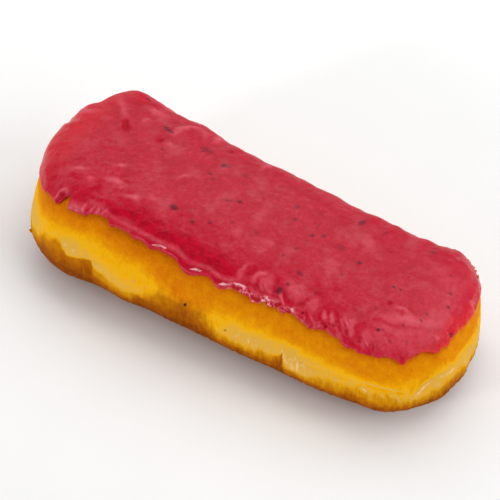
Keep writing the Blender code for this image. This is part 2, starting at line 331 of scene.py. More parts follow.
# %% [markdown]
# ## Soft unevenness
#
# Nothing on food is smooth at every scale. Blender's noise, asked at each point of the surface, gives
# lumps of any wanted size that join up all round. Asking at the point in space, and not at (place, turn),
# keeps the lumps round where the grid is stretched.

# %% Noise asked at points in space


def lumps(points, size, layer, octaves=2):
    """Soft unevenness, about -1 to 1, with lumps of the given size in mm. Each layer is another pattern."""
    asked = points.reshape(-1, 3) / size + layer * np.array([17.3, 5.1, 9.7])
    values = [noise.fractal(Vector(point), 1.0, 2.0, octaves) for point in asked]
    return np.array(values).reshape(points.shape[:-1])


def ripple(place, size, layer):
    """Unevenness along the bar alone, which closes on itself round it."""
    radius = GIRTH / size / (2 * math.pi)
    swing = np.asarray(place) / GIRTH * 2 * math.pi
    circle = np.stack([radius * np.cos(swing), radius * np.sin(swing), np.full_like(swing, layer)], axis=-1)
    values = [noise.noise(Vector(point)) for point in circle.reshape(-1, 3)]
    return np.array(values).reshape(np.shape(swing)) * 1.6


two_points = np.array([[0.0, 0, 0], [1, 0, 0]])
print("two points 1 mm apart differ by", round(float(np.ptp(lumps(two_points, 6, 1))), 2))

# %% Distances to lines, and offsets along a heading
MM_PER_DEGREE = 0.55  # distance up the side for each degree of turn


def line_distance(x, y, line, y_unit=1.0, loop=None):
    """Distance in mm to a line of (x, y) points, and how far along it the nearest point is, as a share."""
    best, along = np.full(np.shape(x), np.inf), np.zeros(np.shape(x))
    for number, ((ax, ay), (bx, by)) in enumerate(zip(line, line[1:])):
        run_x, run_y = bx - ax, (by - ay) * y_unit
        from_x, from_y = x - ax, (y - ay) * y_unit
        if loop:
            from_x = np.mod(from_x + loop / 2, loop) - loop / 2
        share = np.clip((from_x * run_x + from_y * run_y) / (run_x**2 + run_y**2), 0, 1)
        distance = np.hypot(from_x - share * run_x, from_y - share * run_y)
        along = np.where(distance < best, (number + share) / (len(line) - 1), along)
        best = np.minimum(best, distance)
    return best, along


def path_distance(place, turn, path):
    """The same on the side of the bar, for a path of (place, turn) points."""
    return line_distance(place, turn, path, MM_PER_DEGREE, GIRTH)


def turned_offsets(x, y, at_x, at_y, heading):
    """Offsets from a point, along a heading in degrees and across it."""
    turned = math.radians(heading)
    off_x, off_y = x - at_x, y - at_y
    along = off_x * math.cos(turned) + off_y * math.sin(turned)
    return along, off_y * math.cos(turned) - off_x * math.sin(turned)


print("one degree up the side is", MM_PER_DEGREE, "mm")

# %% [markdown]
# ## Relief of the fried crust
#
# The side of a fried bar shows how it rose. A crease runs where the dough lay folded against itself,
# short steps part one lobe from the next, fine wrinkles sit in the pale band that stayed above the fat,
# and the foot that touched the hot fat first is rough. Each of these is a groove along a path, or noise
# with a mask.

# %% Creases, steps and wrinkles of the side
# path of (place, turn) points, half width in mm, depth in mm
CREASES = (
    (((138, 13), (148, 12.5), (157, 14), (165, 15)), 1.1, 0.28),
    (((161.5, 10.5), (163.6, 12), (167, 15.5), (173.5, 14.6), (177, 12.4), (181, 5.2)), 0.9, 0.40),
    (((182, 7.4), (184, 10.5), (185.6, 15.4), (188.6, 19.6), (200, 20), (222, 16), (246, 14)), 1.3, 0.45),
    (((57.5, 13), (57, 4), (57.5, -6)), 0.5, 0.22),
    (((60, 12), (59.5, 2), (60.5, -10)), 0.5, 0.2),
    (((54, 8), (54.5, -4)), 0.5, 0.14),
    (((47, 15), (50, 9), (53, 8)), 0.6, 0.16),
    (((113, 12), (116, 7)), 0.35, 0.2),
    (((150, 14), (153, 8), (155, 3)), 0.6, 0.18),
    (((142, 14), (146, 9)), 0.5, 0.14),
    (((166, 12), (170, 6), (176, 3)), 0.6, 0.16),
    (((270, 14), (290, 17), (312, 13)), 1.2, 0.4),
    (((350, 16), (372, 12), (395, 15)), 1.2, 0.4),
)
# steps where one lobe ends: path, drop in mm from the later place to the earlier one
STEPS = (
    (((61.2, 15), (61.5, 5), (61, -8)), 0.55),
    (((136, 13), (135.5, 2), (135, -12)), 0.8),
    (((163.2, 10), (163.5, -6)), 0.3),
)
CREASE_WIDEN = 1.6  # how much wider than its core a crease's slopes reach
STEP_REACH, STEP_SHARP = 5.0, 0.45  # mm over which a step fades out, and over which it drops
LUMP_RELIEF, WRINKLE_RELIEF, FOOT_RELIEF = 0.10, 0.07, 0.22  # mm


def side_relief(place, turn, points):
    """Height of the crust's fine relief in millimetres."""
    relief = np.zeros(np.shape(turn))
    for path, half, depth in CREASES:
        distance, along = path_distance(place, turn, path)
        relief -= depth * hump(distance, half * CREASE_WIDEN) * tapered(along, 5)
    for path, drop in STEPS:
        levels = np.array([point[1] for point in path])[::-1]
        line = np.interp(turn, levels, np.array([point[0] for point in path])[::-1])
        offset = place - line
        reach = hump(np.abs(offset), STEP_REACH) * window(turn, levels[0], levels[-1], 6, 5)
        relief += drop * reach * np.tanh(offset / STEP_SHARP) * 0.5
    below = ease(turn, 6, -10)
    band = hump(np.abs(turn - 8), 18)
    relief += LUMP_RELIEF * lumps(points, 7.0, 1)
    relief += WRINKLE_RELIEF * band * lumps(points * np.array([1.0, 1.0, 0.45]), 2.2, 2, 3)
    return relief + FOOT_RELIEF * below * (lumps(points, 1.5, 3, 3) - 0.1)


print(len(CREASES), "creases and", len(STEPS), "steps on the side")

# %% [markdown]
# ## The line where the icing stops
#
# The bar was dipped upside down and turned over, so the icing crept down the shoulders and set in drips.
# Its edge is one line round the bar, with rounded drips added, a notch left of the front's middle, and a
# finer ripple where the edge tore. It is the same line as on the solid, with smaller ripples that the
# solid leaves out.

# %% Edge of the icing
ICING_EDGE = (
    (0, 33.5), (14, 31.5), (30, 34.5), (38, 40), (44, 41.5), (52, 43), (60, 47.5), (68, 45), (85, 43.8),
    (104, 42.4), (118, 43), (133, 43.8), (150, 43), (165, 41), (188, 42), (194, 37), (206, 36),
    (213, 33.5), (222, 30.5), (236, 29), (252, 31), (290, 38), (330, 42), (365, 37), (390, 36),
)
# place, reach, degrees that the drip runs down, or with a minus sign that a nick rises
FRONT_DRIPS = (
    (41.6, 1.6, 1.0), (64.5, 2.5, 2.0), (74, 2.5, 1.2), (81, 3, 1.6), (96.5, 7, 4.2), (109, 5, 3.4),
    (122.5, 3.5, 1.6), (127.5, 2.5, 1.6), (132, 2, 1.4), (142, 4.5, 2.8), (148, 2.5, -1.5), (157, 4, 2.6),
    (178.8, 3.2, 3.4),
)
NOTCH_AT, NOTCH_REACH, NOTCH_RISE = 45.1, 2.3, 8.0  # place, half width in mm and rise in degrees
BACK_DRIPS = 13
TORN_FROM, TORN_TO = 114.0, 206.0
SEED = 7


def back_drips():
    """Drips for the side away from the front, spaced by a seeded draw."""
    draw = random.Random(SEED)
    first, last = 244.0, 404.0
    for count in range(BACK_DRIPS):
        at = first + (last - first) * (count + draw.uniform(0.25, 0.75)) / BACK_DRIPS
        yield at, draw.uniform(3.5, 7.0), draw.uniform(-1.5, 3.5)


def torn_share(place):
    """1 along the torn stretch of the edge, 0 where it set round."""
    return window(place, TORN_FROM, TORN_TO, 6, 6)


def fringe_share(place):
    """1 along the short ragged fringe to the right of the notch."""
    return window(place, 44, 64, 3, 4)


def notch_rise(place):
    """Degrees by which the notch lifts the edge at each place."""
    return NOTCH_RISE * hump(apart(place, NOTCH_AT), NOTCH_REACH) ** 0.6


def whole_edge(place):
    """Turn at which the icing would stop if it had no notch."""
    turn = along_loop(place, ICING_EDGE)
    for at, reach, drop in FRONT_DRIPS + tuple(back_drips()):
        turn = turn - drop * hump(apart(place, at), reach)
    torn, fringe = torn_share(place), fringe_share(place)
    turn = turn + ripple(place, 7.0, 0.3) * 0.35 + ripple(place, 4.0, 5.3) * 0.9 * torn
    turn = turn + ripple(place, 1.6, 8.1) * (0.8 * torn + 0.7 * fringe)
    return turn + ripple(place, 2.6, 2.2) * 0.5 * fringe


def icing_edge(place):
    """Turn at which the icing stops at each place."""
    return whole_edge(place) + notch_rise(place)


print("the icing stops at turns", *(round(float(icing_edge(np.array([at]))[0])) for at in (0, 100, 205, 300)))

# %% [markdown]
# ## How the crust browned
#
# The colour of the side is a story of heat. Just under the icing the fat splashed up and left amber,
# below it the crust is golden, the middle floated clear of the fat and stayed cream, and the foot fried
# brown. The boundaries wander along the bar, so each is a line of (place, turn) points. They are turned
# into one number for every vertex, the bake: 0 is cream, 1 the darkest brown. A colour ramp reads it
# later.

# %% Boundaries of the browning
# (place, turn) at which the amber under the icing pales to gold
AMBER_FOOT = (
    (0, 24), (25, 27), (36, 25), (45, 32), (56, 34), (66, 33), (73, 30), (78, 31), (83, 28), (90, 19),
    (98, 12), (105, 15), (110, 23), (118, 25.5), (125, 27), (132, 26), (140, 24.5), (153, 22.5),
    (160, 21), (174, 22), (178, 22), (185, 25), (189, 27), (195, 24), (201, 19), (208, 16), (228, 14),
    (240, 16), (252, 24), (280, 30), (310, 26), (340, 30), (370, 27), (392, 26),
)
AMBER_FADE = 15.0  # degrees over which it pales
# (place, bake) of the amber
AMBER_BAKE = (
    (0, 0.57), (30, 0.59), (80, 0.60), (96, 0.57), (114, 0.55), (150, 0.54), (200, 0.54), (240, 0.56),
)
# (place, turn) of the cream band's upper side
CREAM_TOP = (
    (0, 18), (20, 22), (32, 23), (37, 20), (42, 17), (47, 22), (53, 23), (58, 20), (61, 17), (66, 14),
    (72, 12), (80, 10), (84, 5), (88, 15), (98, 16), (106, 15), (108.5, 8), (112, 10), (117, 16),
    (124, 18), (130, 18), (135, 20), (138, 20), (146, 19), (152, 18), (164, 18), (174, 17), (178, 12),
    (182, 7), (186, 16), (190, 21), (198, 21), (206, 18), (214, 15), (222, 14), (236, 16), (252, 16),
    (275, 18), (296, 6), (304, 6), (320, 14), (350, 19), (380, 16), (398, 12),
)
# (place, turn) at which the cream ends below, with the tongues and steps that the lobes make
CREAM_FOOT = (
    (0, 4), (22, 2), (30, 3), (36, 5), (39, 9), (41, 14), (44, 14.5), (46, 18), (48, 18), (50, 13),
    (51.5, 9), (55, 10), (58, 12.5), (60.6, 13), (61.2, 8), (64, 5), (70, 1), (74, -1), (80, 1), (84, 5),
    (88, 15), (98, 16), (106, 15), (108.5, 6), (112, 0), (118, -2), (124, -1), (130, 1), (133.4, 3),
    (135, 8), (135.9, 12), (136.5, 6), (137.6, -2), (142, -4), (145.6, -4), (147, 0), (150, 3), (156, 3),
    (163, 5), (164, 8), (174, 9), (178, 4), (180.5, -1), (182, -3), (186, -1), (189, 4), (196, 7),
    (202, 6), (208, -1), (214, -3), (222, -3), (236, 2), (252, 4), (275, 5), (296, 6), (304, 6), (320, 4),
    (350, 3), (380, 4), (398, 5),
)
# (place, turn) at which the foot is fully brown
BROWN_FOOT = (
    (0, -10), (24, -10), (32, -12), (37, -8), (41, 2), (46, 2), (54, 0), (60, 0), (61.5, -11), (66, -15),
    (76, -17), (79, -8), (84, -8), (90, -4), (98, 0), (106, -4), (112, -14), (130, -12), (134, -6),
    (135.9, 0), (136.8, -16), (146, -17), (158, -14), (162.8, -10), (164, -17), (170, -14), (177, -16),
    (184, -18), (188, -15), (192, -10), (197, -6), (204, -10), (210, -17), (222, -12), (250, -10),
    (275, -12), (300, -4), (320, -10), (350, -14), (380, -10), (398, -8),
)
print(len(AMBER_FOOT) + len(CREAM_TOP) + len(CREAM_FOOT) + len(BROWN_FOOT), "points on four boundaries")

# %% How brown, how pale and how soft they are
# (place, bake) of the crust just under the cream band
UNDER_CREAM = (
    (0, 0.45), (30, 0.42), (37, 0.44), (40, 0.50), (46, 0.52), (53, 0.62), (60.7, 0.66), (61.4, 0.42),
    (66, 0.40), (76, 0.36), (80, 0.47), (88, 0.47), (92, 0.56), (98, 0.70), (104, 0.56), (108, 0.42),
    (124, 0.38), (132, 0.46), (135.9, 0.74), (136.6, 0.34), (148, 0.33), (160, 0.36), (163.2, 0.48),
    (164.2, 0.38), (176, 0.36), (188, 0.34), (196, 0.54), (206, 0.46), (214, 0.40), (230, 0.46),
    (250, 0.45), (300, 0.55), (340, 0.42), (398, 0.48),
)
# (place, share) of the cream's strength, and (place, degrees) over which its foot fades
CREAM_STRENGTH = (
    (0, 0.5), (24, 0.65), (34, 0.8), (43, 0.5), (48, 0.9), (60, 0.95), (72, 0.85), (80, 0.7), (84, 0),
    (108, 0), (112, 0.5), (118, 0.8), (130, 0.85), (137, 0.75), (142, 1), (146, 0.95), (149, 0.7),
    (163, 0.6), (168, 0.4), (178, 0.3), (182, 0.8), (186, 0.7), (196, 0.9), (214, 0.95), (240, 0.8),
    (296, 0), (304, 0), (330, 0.7), (398, 0.6),
)
CREAM_SOFT = (
    (0, 8), (34, 9), (42, 9), (47, 7), (51, 3.5), (58, 3.5), (60.6, 1.8), (62, 5), (70, 9), (82, 10),
    (90, 13), (98, 13), (106, 12), (110, 10), (130, 10), (134, 6), (135.8, 2.5), (137, 9), (145, 7),
    (147, 5), (150, 11), (180, 7), (190, 10), (230, 9), (300, 9), (398, 8),
)
CREAM, GOLD, BROWN, DARK = 0.13, 0.38, 0.81, 0.95
# (place, share) of fine upright streaks in the low crust
STREAKY = (
    (0, 0.4), (36, 0.3), (62, 0.25), (86, 0.35), (108, 0.5), (126, 0.8), (188, 0.9), (214, 0.7),
    (300, 0.6),
)
print("the bake runs from", CREAM, "in the cream band to", DARK, "under the foot")

# %% Fold lines
# fold lines that browned or stayed pale, with painted shade in the creases and painted highlights on their
# lips: path of (place, turn) points, reach in mm, change of the bake
FOLD_TONES_AND_LIGHT = (
    (((140, 12.6), (148, 12.0), (153, 11.4), (157, 13.0), (160.5, 10.4)), 0.6, 0.13),
    (((161.5, 10.5), (163.6, 12), (167, 15.5), (170.5, 15.6), (173.5, 14.6), (177, 12.4), (179.5, 8.6),
      (181, 5.2)), 1.2, 0.12),
    (((163.6, 14.4), (167, 18), (170.5, 18.2), (173.5, 17.2), (177, 15), (180, 10.8)), 0.8, -0.24),
    (((164.5, 11.8), (166.5, 9.1), (168.6, 6.3)), 1.0, -0.22),
    (((171, 12.3), (172.4, 9.5), (173.2, 5.2)), 0.8, -0.22),
    (((176, 9), (177.6, 4), (179, -1.5)), 0.9, -0.24),
    (((180.4, 4.4), (183.2, 5.0), (185, 9.2), (186.5, 13.8), (188.4, 16.9), (190.3, 19.2)), 1.4, -0.21),
    (((189.4, 18.6), (192, 17.5), (193.9, 15.4), (197.1, 13.6), (202, 13)), 1.2, -0.13),
    (((190, 14.0), (194, 13.2), (199, 11.4)), 0.8, 0.14),
    (((183, 14), (185.5, 20), (188.5, 25)), 2.6, 0.08),
    (((182.5, 26), (182, 18), (181.5, 10)), 1.8, 0.04),
    (((118.5, 9.2), (121.5, 3.2), (126.4, -3.6)), 0.5, 0.12),
    (((116, 4), (118, 6), (121.5, 14)), 0.7, -0.10),
    (((57.3, 12), (57.2, -6)), 0.6, 0.10),
    (((49.5, 6), (48, -2), (46, -8)), 0.8, -0.10),
    (((103.5, 8), (106, 1), (108, -5)), 0.7, -0.16),
    (((101, 4), (103, -3), (104.5, -9)), 0.6, -0.12),
    (((99, 9), (97.5, 2), (98, -4)), 1.6, 0.08),
    (((86, 2), (84, -6)), 1.4, 0.10),
    (((135.9, 10), (136.4, 0), (137.2, -8)), 0.7, 0.10),
    (((134.4, 17.5), (136, 13), (137.2, 8), (137.8, 0)), 0.8, -0.16),
)


def fold_tones_and_light(place, turn):
    """How much more or less the fold lines have browned, with their painted shade and painted highlights."""
    tone = np.zeros(np.shape(turn))
    for path, reach, change in FOLD_TONES_AND_LIGHT:
        distance, along = path_distance(place, turn, path)
        tone += change * hump(distance, reach) * tapered(along, 4)
    return tone


print(len(FOLD_TONES_AND_LIGHT), "fold lines browned or stayed pale")

# %% The bake of each point
WANDER = 2.2  # degrees by which noise moves the boundaries
RIM_BAKE_AND_SHADE = 0.07  # how much darker the crust is right under the icing's edge: some browning, and painted shade under the lip
STREAK_BAKE, BLOTCH_BAKE = 0.12, 0.045  # how much streaks and blotches change the bake


def bake_of(place, turn, points):
    """How far the crust has browned, how much it belongs to the foot, and how wrinkled it is."""
    wander = lumps(points, 6.0, 11, 3)
    streaks = lumps(points * np.array([1.0, 1.0, 0.34]), 1.4, 12, 3)
    blotches = lumps(points, 2.6, 13, 3)
    amber, top = along_loop(place, AMBER_FOOT), along_loop(place, CREAM_TOP)
    foot, brown = along_loop(place, CREAM_FOOT), along_loop(place, BROWN_FOOT)
    soft, under = along_loop(place, CREAM_SOFT), along_loop(place, UNDER_CREAM)
    level = turn + WANDER * wander
    edge = icing_edge(place[:, :1])
    pale = smooth((amber + 1.5 * blotches - level) / AMBER_FADE + 0.5)
    top_bake = along_loop(place, AMBER_BAKE)
    # darker right under the icing's edge: browning and painted shade under the lip
    above = top_bake + (GOLD - top_bake) * pale + RIM_BAKE_AND_SHADE * ease(turn - edge, -3.5, 0)
    streaky = along_loop(place, STREAKY)
    ragged = foot + (0.6 + 0.25 * soft) * (0.9 * streaky * streaks + 0.6 * blotches)
    sunk = np.clip((foot - level) / np.maximum(foot - brown, 4.0), 0, 1)
    below = under + (BROWN - under) * sunk**1.6
    below = below + (DARK - BROWN) * smooth((brown - level) / 16)
    low = smooth((ragged + 0.5 * soft - turn) / soft)
    bake = above + (below - above) * low
    cream = smooth((top + WANDER * blotches - level) / 15 + 0.42) * smooth((turn - ragged) / soft + 0.4)
    patchy = 0.85 + 0.6 * streaky * streaks + 0.35 * blotches
    cream = np.clip(cream * along_loop(place, CREAM_STRENGTH) * smooth((top - foot) / 3) * patchy, 0, 1)
    bake = bake + (CREAM - bake) * cream
    # fold lines: browning, painted shade in the creases and painted highlights on their lips
    bake = bake + fold_tones_and_light(place, turn) + BLOTCH_BAKE * blotches
    bake = bake + STREAK_BAKE * streaky * streaks * ease(turn, 22, 10)
    wrinkled = np.maximum(0.12 + 0.88 * ease(turn, 19, 9) * streaky, 0.6 * cream)
    return bake, low, wrinkled


print("noise moves the boundaries by about", round(WANDER * MM_PER_DEGREE, 1), "mm")

# %% Small marks on the side
# place, turn, half width in mm, half length in mm, slant from upright in degrees
SOOT = ((98.2, 14, 0.5, 1.3, 18), (114.2, 7.5, 0.3, 0.6, 25), (40.5, -3, 0.4, 0.8, -20))
PINK = ((78.2, 14, 0.5, 0.9, 0), (82.3, 12, 0.4, 0.9, 10))


def marked(place, turn, table):
    """How much each point of the side lies in a small oval mark."""
    share = np.zeros(np.shape(turn))
    height = turn * MM_PER_DEGREE
    for at, level, wide, tall, slant in table:
        up, across = turned_offsets(height, place, level * MM_PER_DEGREE, at, slant)
        share = np.maximum(share, smooth(1.5 - np.hypot(across / wide, up / tall)))
    return share


print(len(SOOT), "dark specks and", len(PINK), "pink ones")

# %% Build the dough
DOUGH_BELOW = (-90, -84, -76, -70)
SIDE_ROWS = 88
TOP_ROWS = (58, 64, 72, 81, 90)


def build_dough():
    """The bar of dough: fine from its foot to under the icing's edge, plain where the icing hides it."""
    side = np.linspace(foot_turn(), 53, SIDE_ROWS)
    rows = np.concatenate([DOUGH_BELOW, side, TOP_ROWS])
    place, turn = np.meshgrid(stations(), rows, indexing="ij")
    points = dough_points(place, turn)
    shows = window(turn, foot_turn(), 56, 4, 6)
    points = points + dough_normals(place, turn) * (side_relief(place, turn, points) * shows)[..., None]
    points[..., 2] = np.maximum(points[..., 2], 0.0)
    bake, low, wrinkled = bake_of(place, turn, points)
    marks = {"bake": bake, "low": low, "wrinkled": wrinkled}
    marks.update(soot=marked(place, turn, SOOT), pink=marked(place, turn, PINK))
    return wrapped_grid("dough_bar", points, marks)


dough = build_dough()
print("dough:", len(dough.data.polygons), "faces")

# %% [markdown]
# ## The lip of the icing
#
# Icing sets with a rounded lip. Along the middle of the front the lip is a fat smooth bead, on the ends
# it is thin, and to the right of the middle it tore and foamed while it was still soft. The lip is a half
# round that is swept along the edge, with its thickness read from a line of (place, thickness) points.

# %% Thickness along the lip, and the swept half round
ICING_GAP = 0.3
SHEET = 1.7
LIP_THICKNESS = (
    (0, 1.2), (30, 1.2), (40, 1.6), (46, 1.3), (56, 1.3), (62, 1.7), (70, 2.1), (112, 2.3), (122, 2.2),
    (148, 1.8), (170, 1.6), (188, 1.4), (200, 1.1), (240, 1.1), (300, 1.7), (365, 1.6),
)
LIP_ANGLES = (-90, -62, -38, -16, 5, 25, 45, 65, 84)
UNDERSIDE = (2.5, 6.0, 11.0, 17.0, 24.0)  # mm up from the edge
NEAR_ROWS = np.arange(0.30, 5.0, 0.33)  # mm beyond the lip
FAR_ROWS = 62
LIP_BULGE = 1.1  # how far the lip's round face reaches, as a share of half its thickness
SETTLE = 4.5  # mm over which the lip's thickness goes over to the sheet's
HOLLOW_AT, HOLLOW_REACH, HOLLOW_DEPTH = 2.9, 3.4, 0.35  # the dip behind a fat bead, in mm


def up_from(edge, distance):
    """The turn that lies a distance in mm up from the icing's edge, never past the spine."""
    return edge + (90 - edge) * (1 - np.exp(-distance / MM_PER_DEGREE / (90 - edge)))


def lip_rows(place):
    """Distance up from the edge and height above the dough, from the lip's underside to the near rows."""
    thick = along_loop(place, LIP_THICKNESS)[:, None]
    angle = np.radians(np.array(LIP_ANGLES))[None]
    half = thick * 0.5
    distance = half * LIP_BULGE * (1 - np.cos(angle))
    lift = ICING_GAP + half + half * np.sin(angle)
    beyond = half * LIP_BULGE + NEAR_ROWS[None]
    settle = smooth(NEAR_ROWS[None] / SETTLE)
    fat = smooth((thick - 1.5) / 0.6)
    hollow = HOLLOW_DEPTH * fat * hump(np.abs(NEAR_ROWS[None] - HOLLOW_AT), HOLLOW_REACH)
    near = ICING_GAP + thick + (SHEET - thick) * settle - hollow
    return np.concatenate([distance, beyond], axis=1), np.concatenate([lift, near], axis=1)


print("the lip is up to", max(thick for _, thick in LIP_THICKNESS), "mm thick, the sheet", SHEET, "mm")

# %% [markdown]
# ## Folds, swirls, pits and foam
#
# The face of the icing keeps every touch. The spatula left broad low swirls, folds hang down to the torn
# edge, the shoulder above it is frayed, popped bubbles left pits, and the torn lip is a froth. Folds and
# ridges are humps along a line, whose width wobbles with noise so that none looks drawn. Bubbles are
# round dents and bumps, and they are drawn with a seed where no single one matters.

# %% Folds and valleys near the edge
# line of (place, turn) points, reach to each side in mm, height in mm, how pale, partly paler sugar and
# partly painted highlight
FOLDS = (
    (((41.2, 39.6), (40.8, 43.2), (40.7, 47.2), (42.0, 50.3), (43.7, 50.0), (44.5, 47.6)), 0.85, 0.50, 0.9),
    (((47.5, 46.5), (50.5, 46.5), (53.6, 48.0)), 1.7, 0.25, 0.5),
    (((53.3, 49.5), (52.8, 45.5)), 0.9, 0.28, 1.0),
    (((50.2, 47.5), (49.4, 44.5)), 0.8, 0.20, 0.6),
    (((56.4, 50.0), (55.6, 46.0)), 0.9, 0.25, 0.7),
    (((58.3, 50.5), (57.5, 45.5)), 0.8, 0.28, 0.9),
    (((60.8, 51.5), (59.9, 48.5)), 0.9, 0.22, 0.8),
    (((54, 50.8), (60, 51.8)), 1.5, 0.12, 0.4),
    (((113.7, 57.5), (112.9, 53.0), (114.2, 48.8)), 1.2, 0.18, 0.5),
    (((118.5, 50), (118.4, 54), (119.3, 57), (121.6, 57.9)), 1.1, 0.34, 0.8),
    (((121.8, 57.2), (123.4, 55), (125, 51.8)), 2.2, 0.38, 0.55),
    (((130.2, 56.5), (133, 55.4), (136.2, 54.6)), 2.9, 0.50, 0.6),
    (((138.8, 54.2), (142.3, 51.7)), 2.6, 0.45, 0.6),
    (((144.9, 53), (146.4, 49.5)), 1.1, 0.36, 0.95),
    (((147.3, 53.8), (148.2, 52.2), (149.2, 49.8)), 0.9, 0.34, 0.9),
    (((154.3, 56.3), (155.6, 52), (158.0, 47)), 1.9, 0.44, 0.75),
    (((162, 52), (164, 49), (166.1, 45.9)), 1.1, 0.38, 0.8),
    (((170.5, 49), (173, 45)), 1.8, 0.28, 0.45),
    (((181, 47), (184, 44)), 1.8, 0.20, 0.35),
    (((193.6, 49), (194.4, 46.5), (195.8, 44.2)), 0.7, 0.26, 0.9),
    (((221.8, 36.5), (221.2, 39.0), (219.8, 38.6), (219.1, 35.5), (219.3, 32)), 0.8, 0.42, 0.9),
)
# the same with a depth in mm, and how deep a red it is painted as shade, where more than 1 darkens the core
# too
VALLEYS = (
    (((41.9, 40.4), (41.9, 43.5), (42.2, 46.8), (43.1, 48.3)), 1.2, 1.0, 1.6),
    (((34.0, 47.0), (36.5, 49.5)), 2.2, 0.10, 0.45),
    (((42.0, 54.0), (49.2, 54.2), (53, 55.5)), 3.0, 0.15, 0.6),
    (((115.8, 56.2), (116.8, 54.2)), 2.2, 0.30, 0.95),
    (((125.5, 57.2), (126.4, 54.0), (127.6, 51.0)), 1.5, 0.48, 1.0),
    (((118.0, 48.3), (122.0, 47.6), (127.0, 48.6), (129.6, 49.4)), 0.9, 0.20, 0.9),
    (((137.9, 55.8), (137.2, 52.5), (135.4, 49.4)), 1.1, 0.46, 1.0),
    (((143.4, 47.8), (143.2, 46.0)), 1.6, 0.30, 0.5),
    (((150.3, 52.0), (150.1, 47.6)), 1.5, 0.52, 0.95),
    (((154.2, 50.0), (155.2, 46.6)), 1.2, 0.46, 0.9),
    (((161.2, 50.0), (162.0, 45.4)), 1.3, 0.46, 0.9),
    (((167.8, 48.5), (168.4, 43.4)), 1.1, 0.36, 0.7),
    (((178.3, 42.5), (178.8, 39.6)), 1.2, 0.20, 0.9),
    (((188.0, 46.0), (190.5, 43.5)), 1.6, 0.18, 0.35),
)
print(len(FOLDS), "folds and", len(VALLEYS), "valleys near the edge")

# %% Burst bubbles, painted glints and the bead's painted highlight
# burst bubbles of the torn lip: place, turn, reach in mm
CAVITIES = (
    (113.8, 43.8, 1.5), (115.2, 44.2, 1.0), (118.9, 42.3, 0.9), (122.0, 43.2, 1.2), (123.2, 43.4, 1.5),
    (126.0, 43.6, 0.7), (129.6, 45.2, 1.7), (130.4, 46.0, 1.2), (132.0, 44.6, 0.7), (134.2, 44.6, 1.5),
    (138.6, 47.6, 0.8), (147.6, 46.3, 1.5),
)
CAVITY_DEPTH = 0.9
CAVITY_SQUASH = 1.3  # a burst bubble is this much wider than it is tall
# line of (place, turn) points of the glints painted as near-white highlights on the wettest drips
PAINTED_GLINTS = (
    ((81.6, 45.0), (83.6, 46.2), (86.4, 46.7)),
    ((97.2, 42.0), (98.6, 43.3), (101.0, 43.8)),
    ((108.6, 41.4), (110.4, 42.9), (112.4, 44.0)),
    ((113.0, 45.6), (115.4, 46.6), (117.6, 46.4)),
)
# line of (place, turn) points of the bead's crest, along which a pale highlight line is painted
BEAD_CREST_HIGHLIGHT = ((61, 50), (66, 48.8), (80, 48.2), (90, 48), (96, 45.8), (102, 47), (108, 45.8), (113, 47.5))


def burst(place, turn):
    """How much of a burst bubble each point is."""
    inside = np.zeros(np.shape(turn))
    for at, level, reach in CAVITIES:
        up = (turn - level) * MM_PER_DEGREE * CAVITY_SQUASH
        inside = np.maximum(inside, hump(np.hypot(apart(place, at), up), reach))
    return inside


print(len(CAVITIES), "burst bubbles and", len(PAINTED_GLINTS), "glints")

# %% Lines worked into the sheet
LINE_WOBBLE = 0.6  # how far noise changes the width of a line
SIDE_WIDEN, TOP_WIDEN = 1.15, 1.25  # how much wider than its core a line's slopes reach
TOP_RAISE = 1.3  # the top's lines are worked this much higher
FRAY_FROM, FRAY_TO, FRAY_LEVEL, FRAY_REACH = 116, 182, 50, 10  # places, turn and degrees to each side
FRAY_SLANT, FRAY_STRETCH = 1.2, 0.22  # how far the streaks lean, and how long they are drawn out


def worked_lines(table, nearest, taper, widen, wobble):
    """Height of the lines of a table, and how strongly each point is coloured by them."""
    height, colour = np.zeros(np.shape(wobble)), np.zeros(np.shape(wobble))
    for line, reach, tall, strong in table:
        distance, along = nearest(line)
        share = taper(along) * hump(distance * (1 + LINE_WOBBLE * wobble), widen * reach)
        height += tall * share
        colour = np.maximum(colour, np.minimum(strong * share, 1))
    return height, colour


def lines_on_side(place, turn, table, wobble):
    """Worked lines near the edge, blunt at their ends."""
    return worked_lines(
        table,
        lambda line: path_distance(place, turn, line),
        lambda along: smooth(np.minimum(along, 1 - along) * 4 + 0.45),
        SIDE_WIDEN,
        wobble,
    )


def frayed(place, turn):
    """Streaks up the shoulder that was torn as it set, about -1 to 1, and 0 elsewhere."""
    there = window(place, FRAY_FROM, FRAY_TO, 6, 14) * hump(np.abs(turn - FRAY_LEVEL), FRAY_REACH)
    slanted = place + FRAY_SLANT * (turn - FRAY_LEVEL) * MM_PER_DEGREE
    asked = np.stack([slanted, turn * FRAY_STRETCH, np.zeros_like(turn)], axis=-1)
    return there * lumps(asked, 2.2, 31, 3)


print("noise changes the width of a line by up to", LINE_WOBBLE, "of it")

# %% Swirls, ridges and hollows of the top
# x, y, reach along, reach across, heading, height
SWIRLS = (
    (-58, 9, 15, 6, 20, 0.3),
    (-42, 18, 14, 6, 10, 0.35),
    (-48, -8, 16, 6, 0, 0.3),
    (-20, 14, 20, 7, -5, 0.3),
    (8, -2, 22, 7, 8, 0.25),
    (40, 10, 20, 7, -8, 0.3),
    (60, -12, 15, 6, 25, 0.45),
)
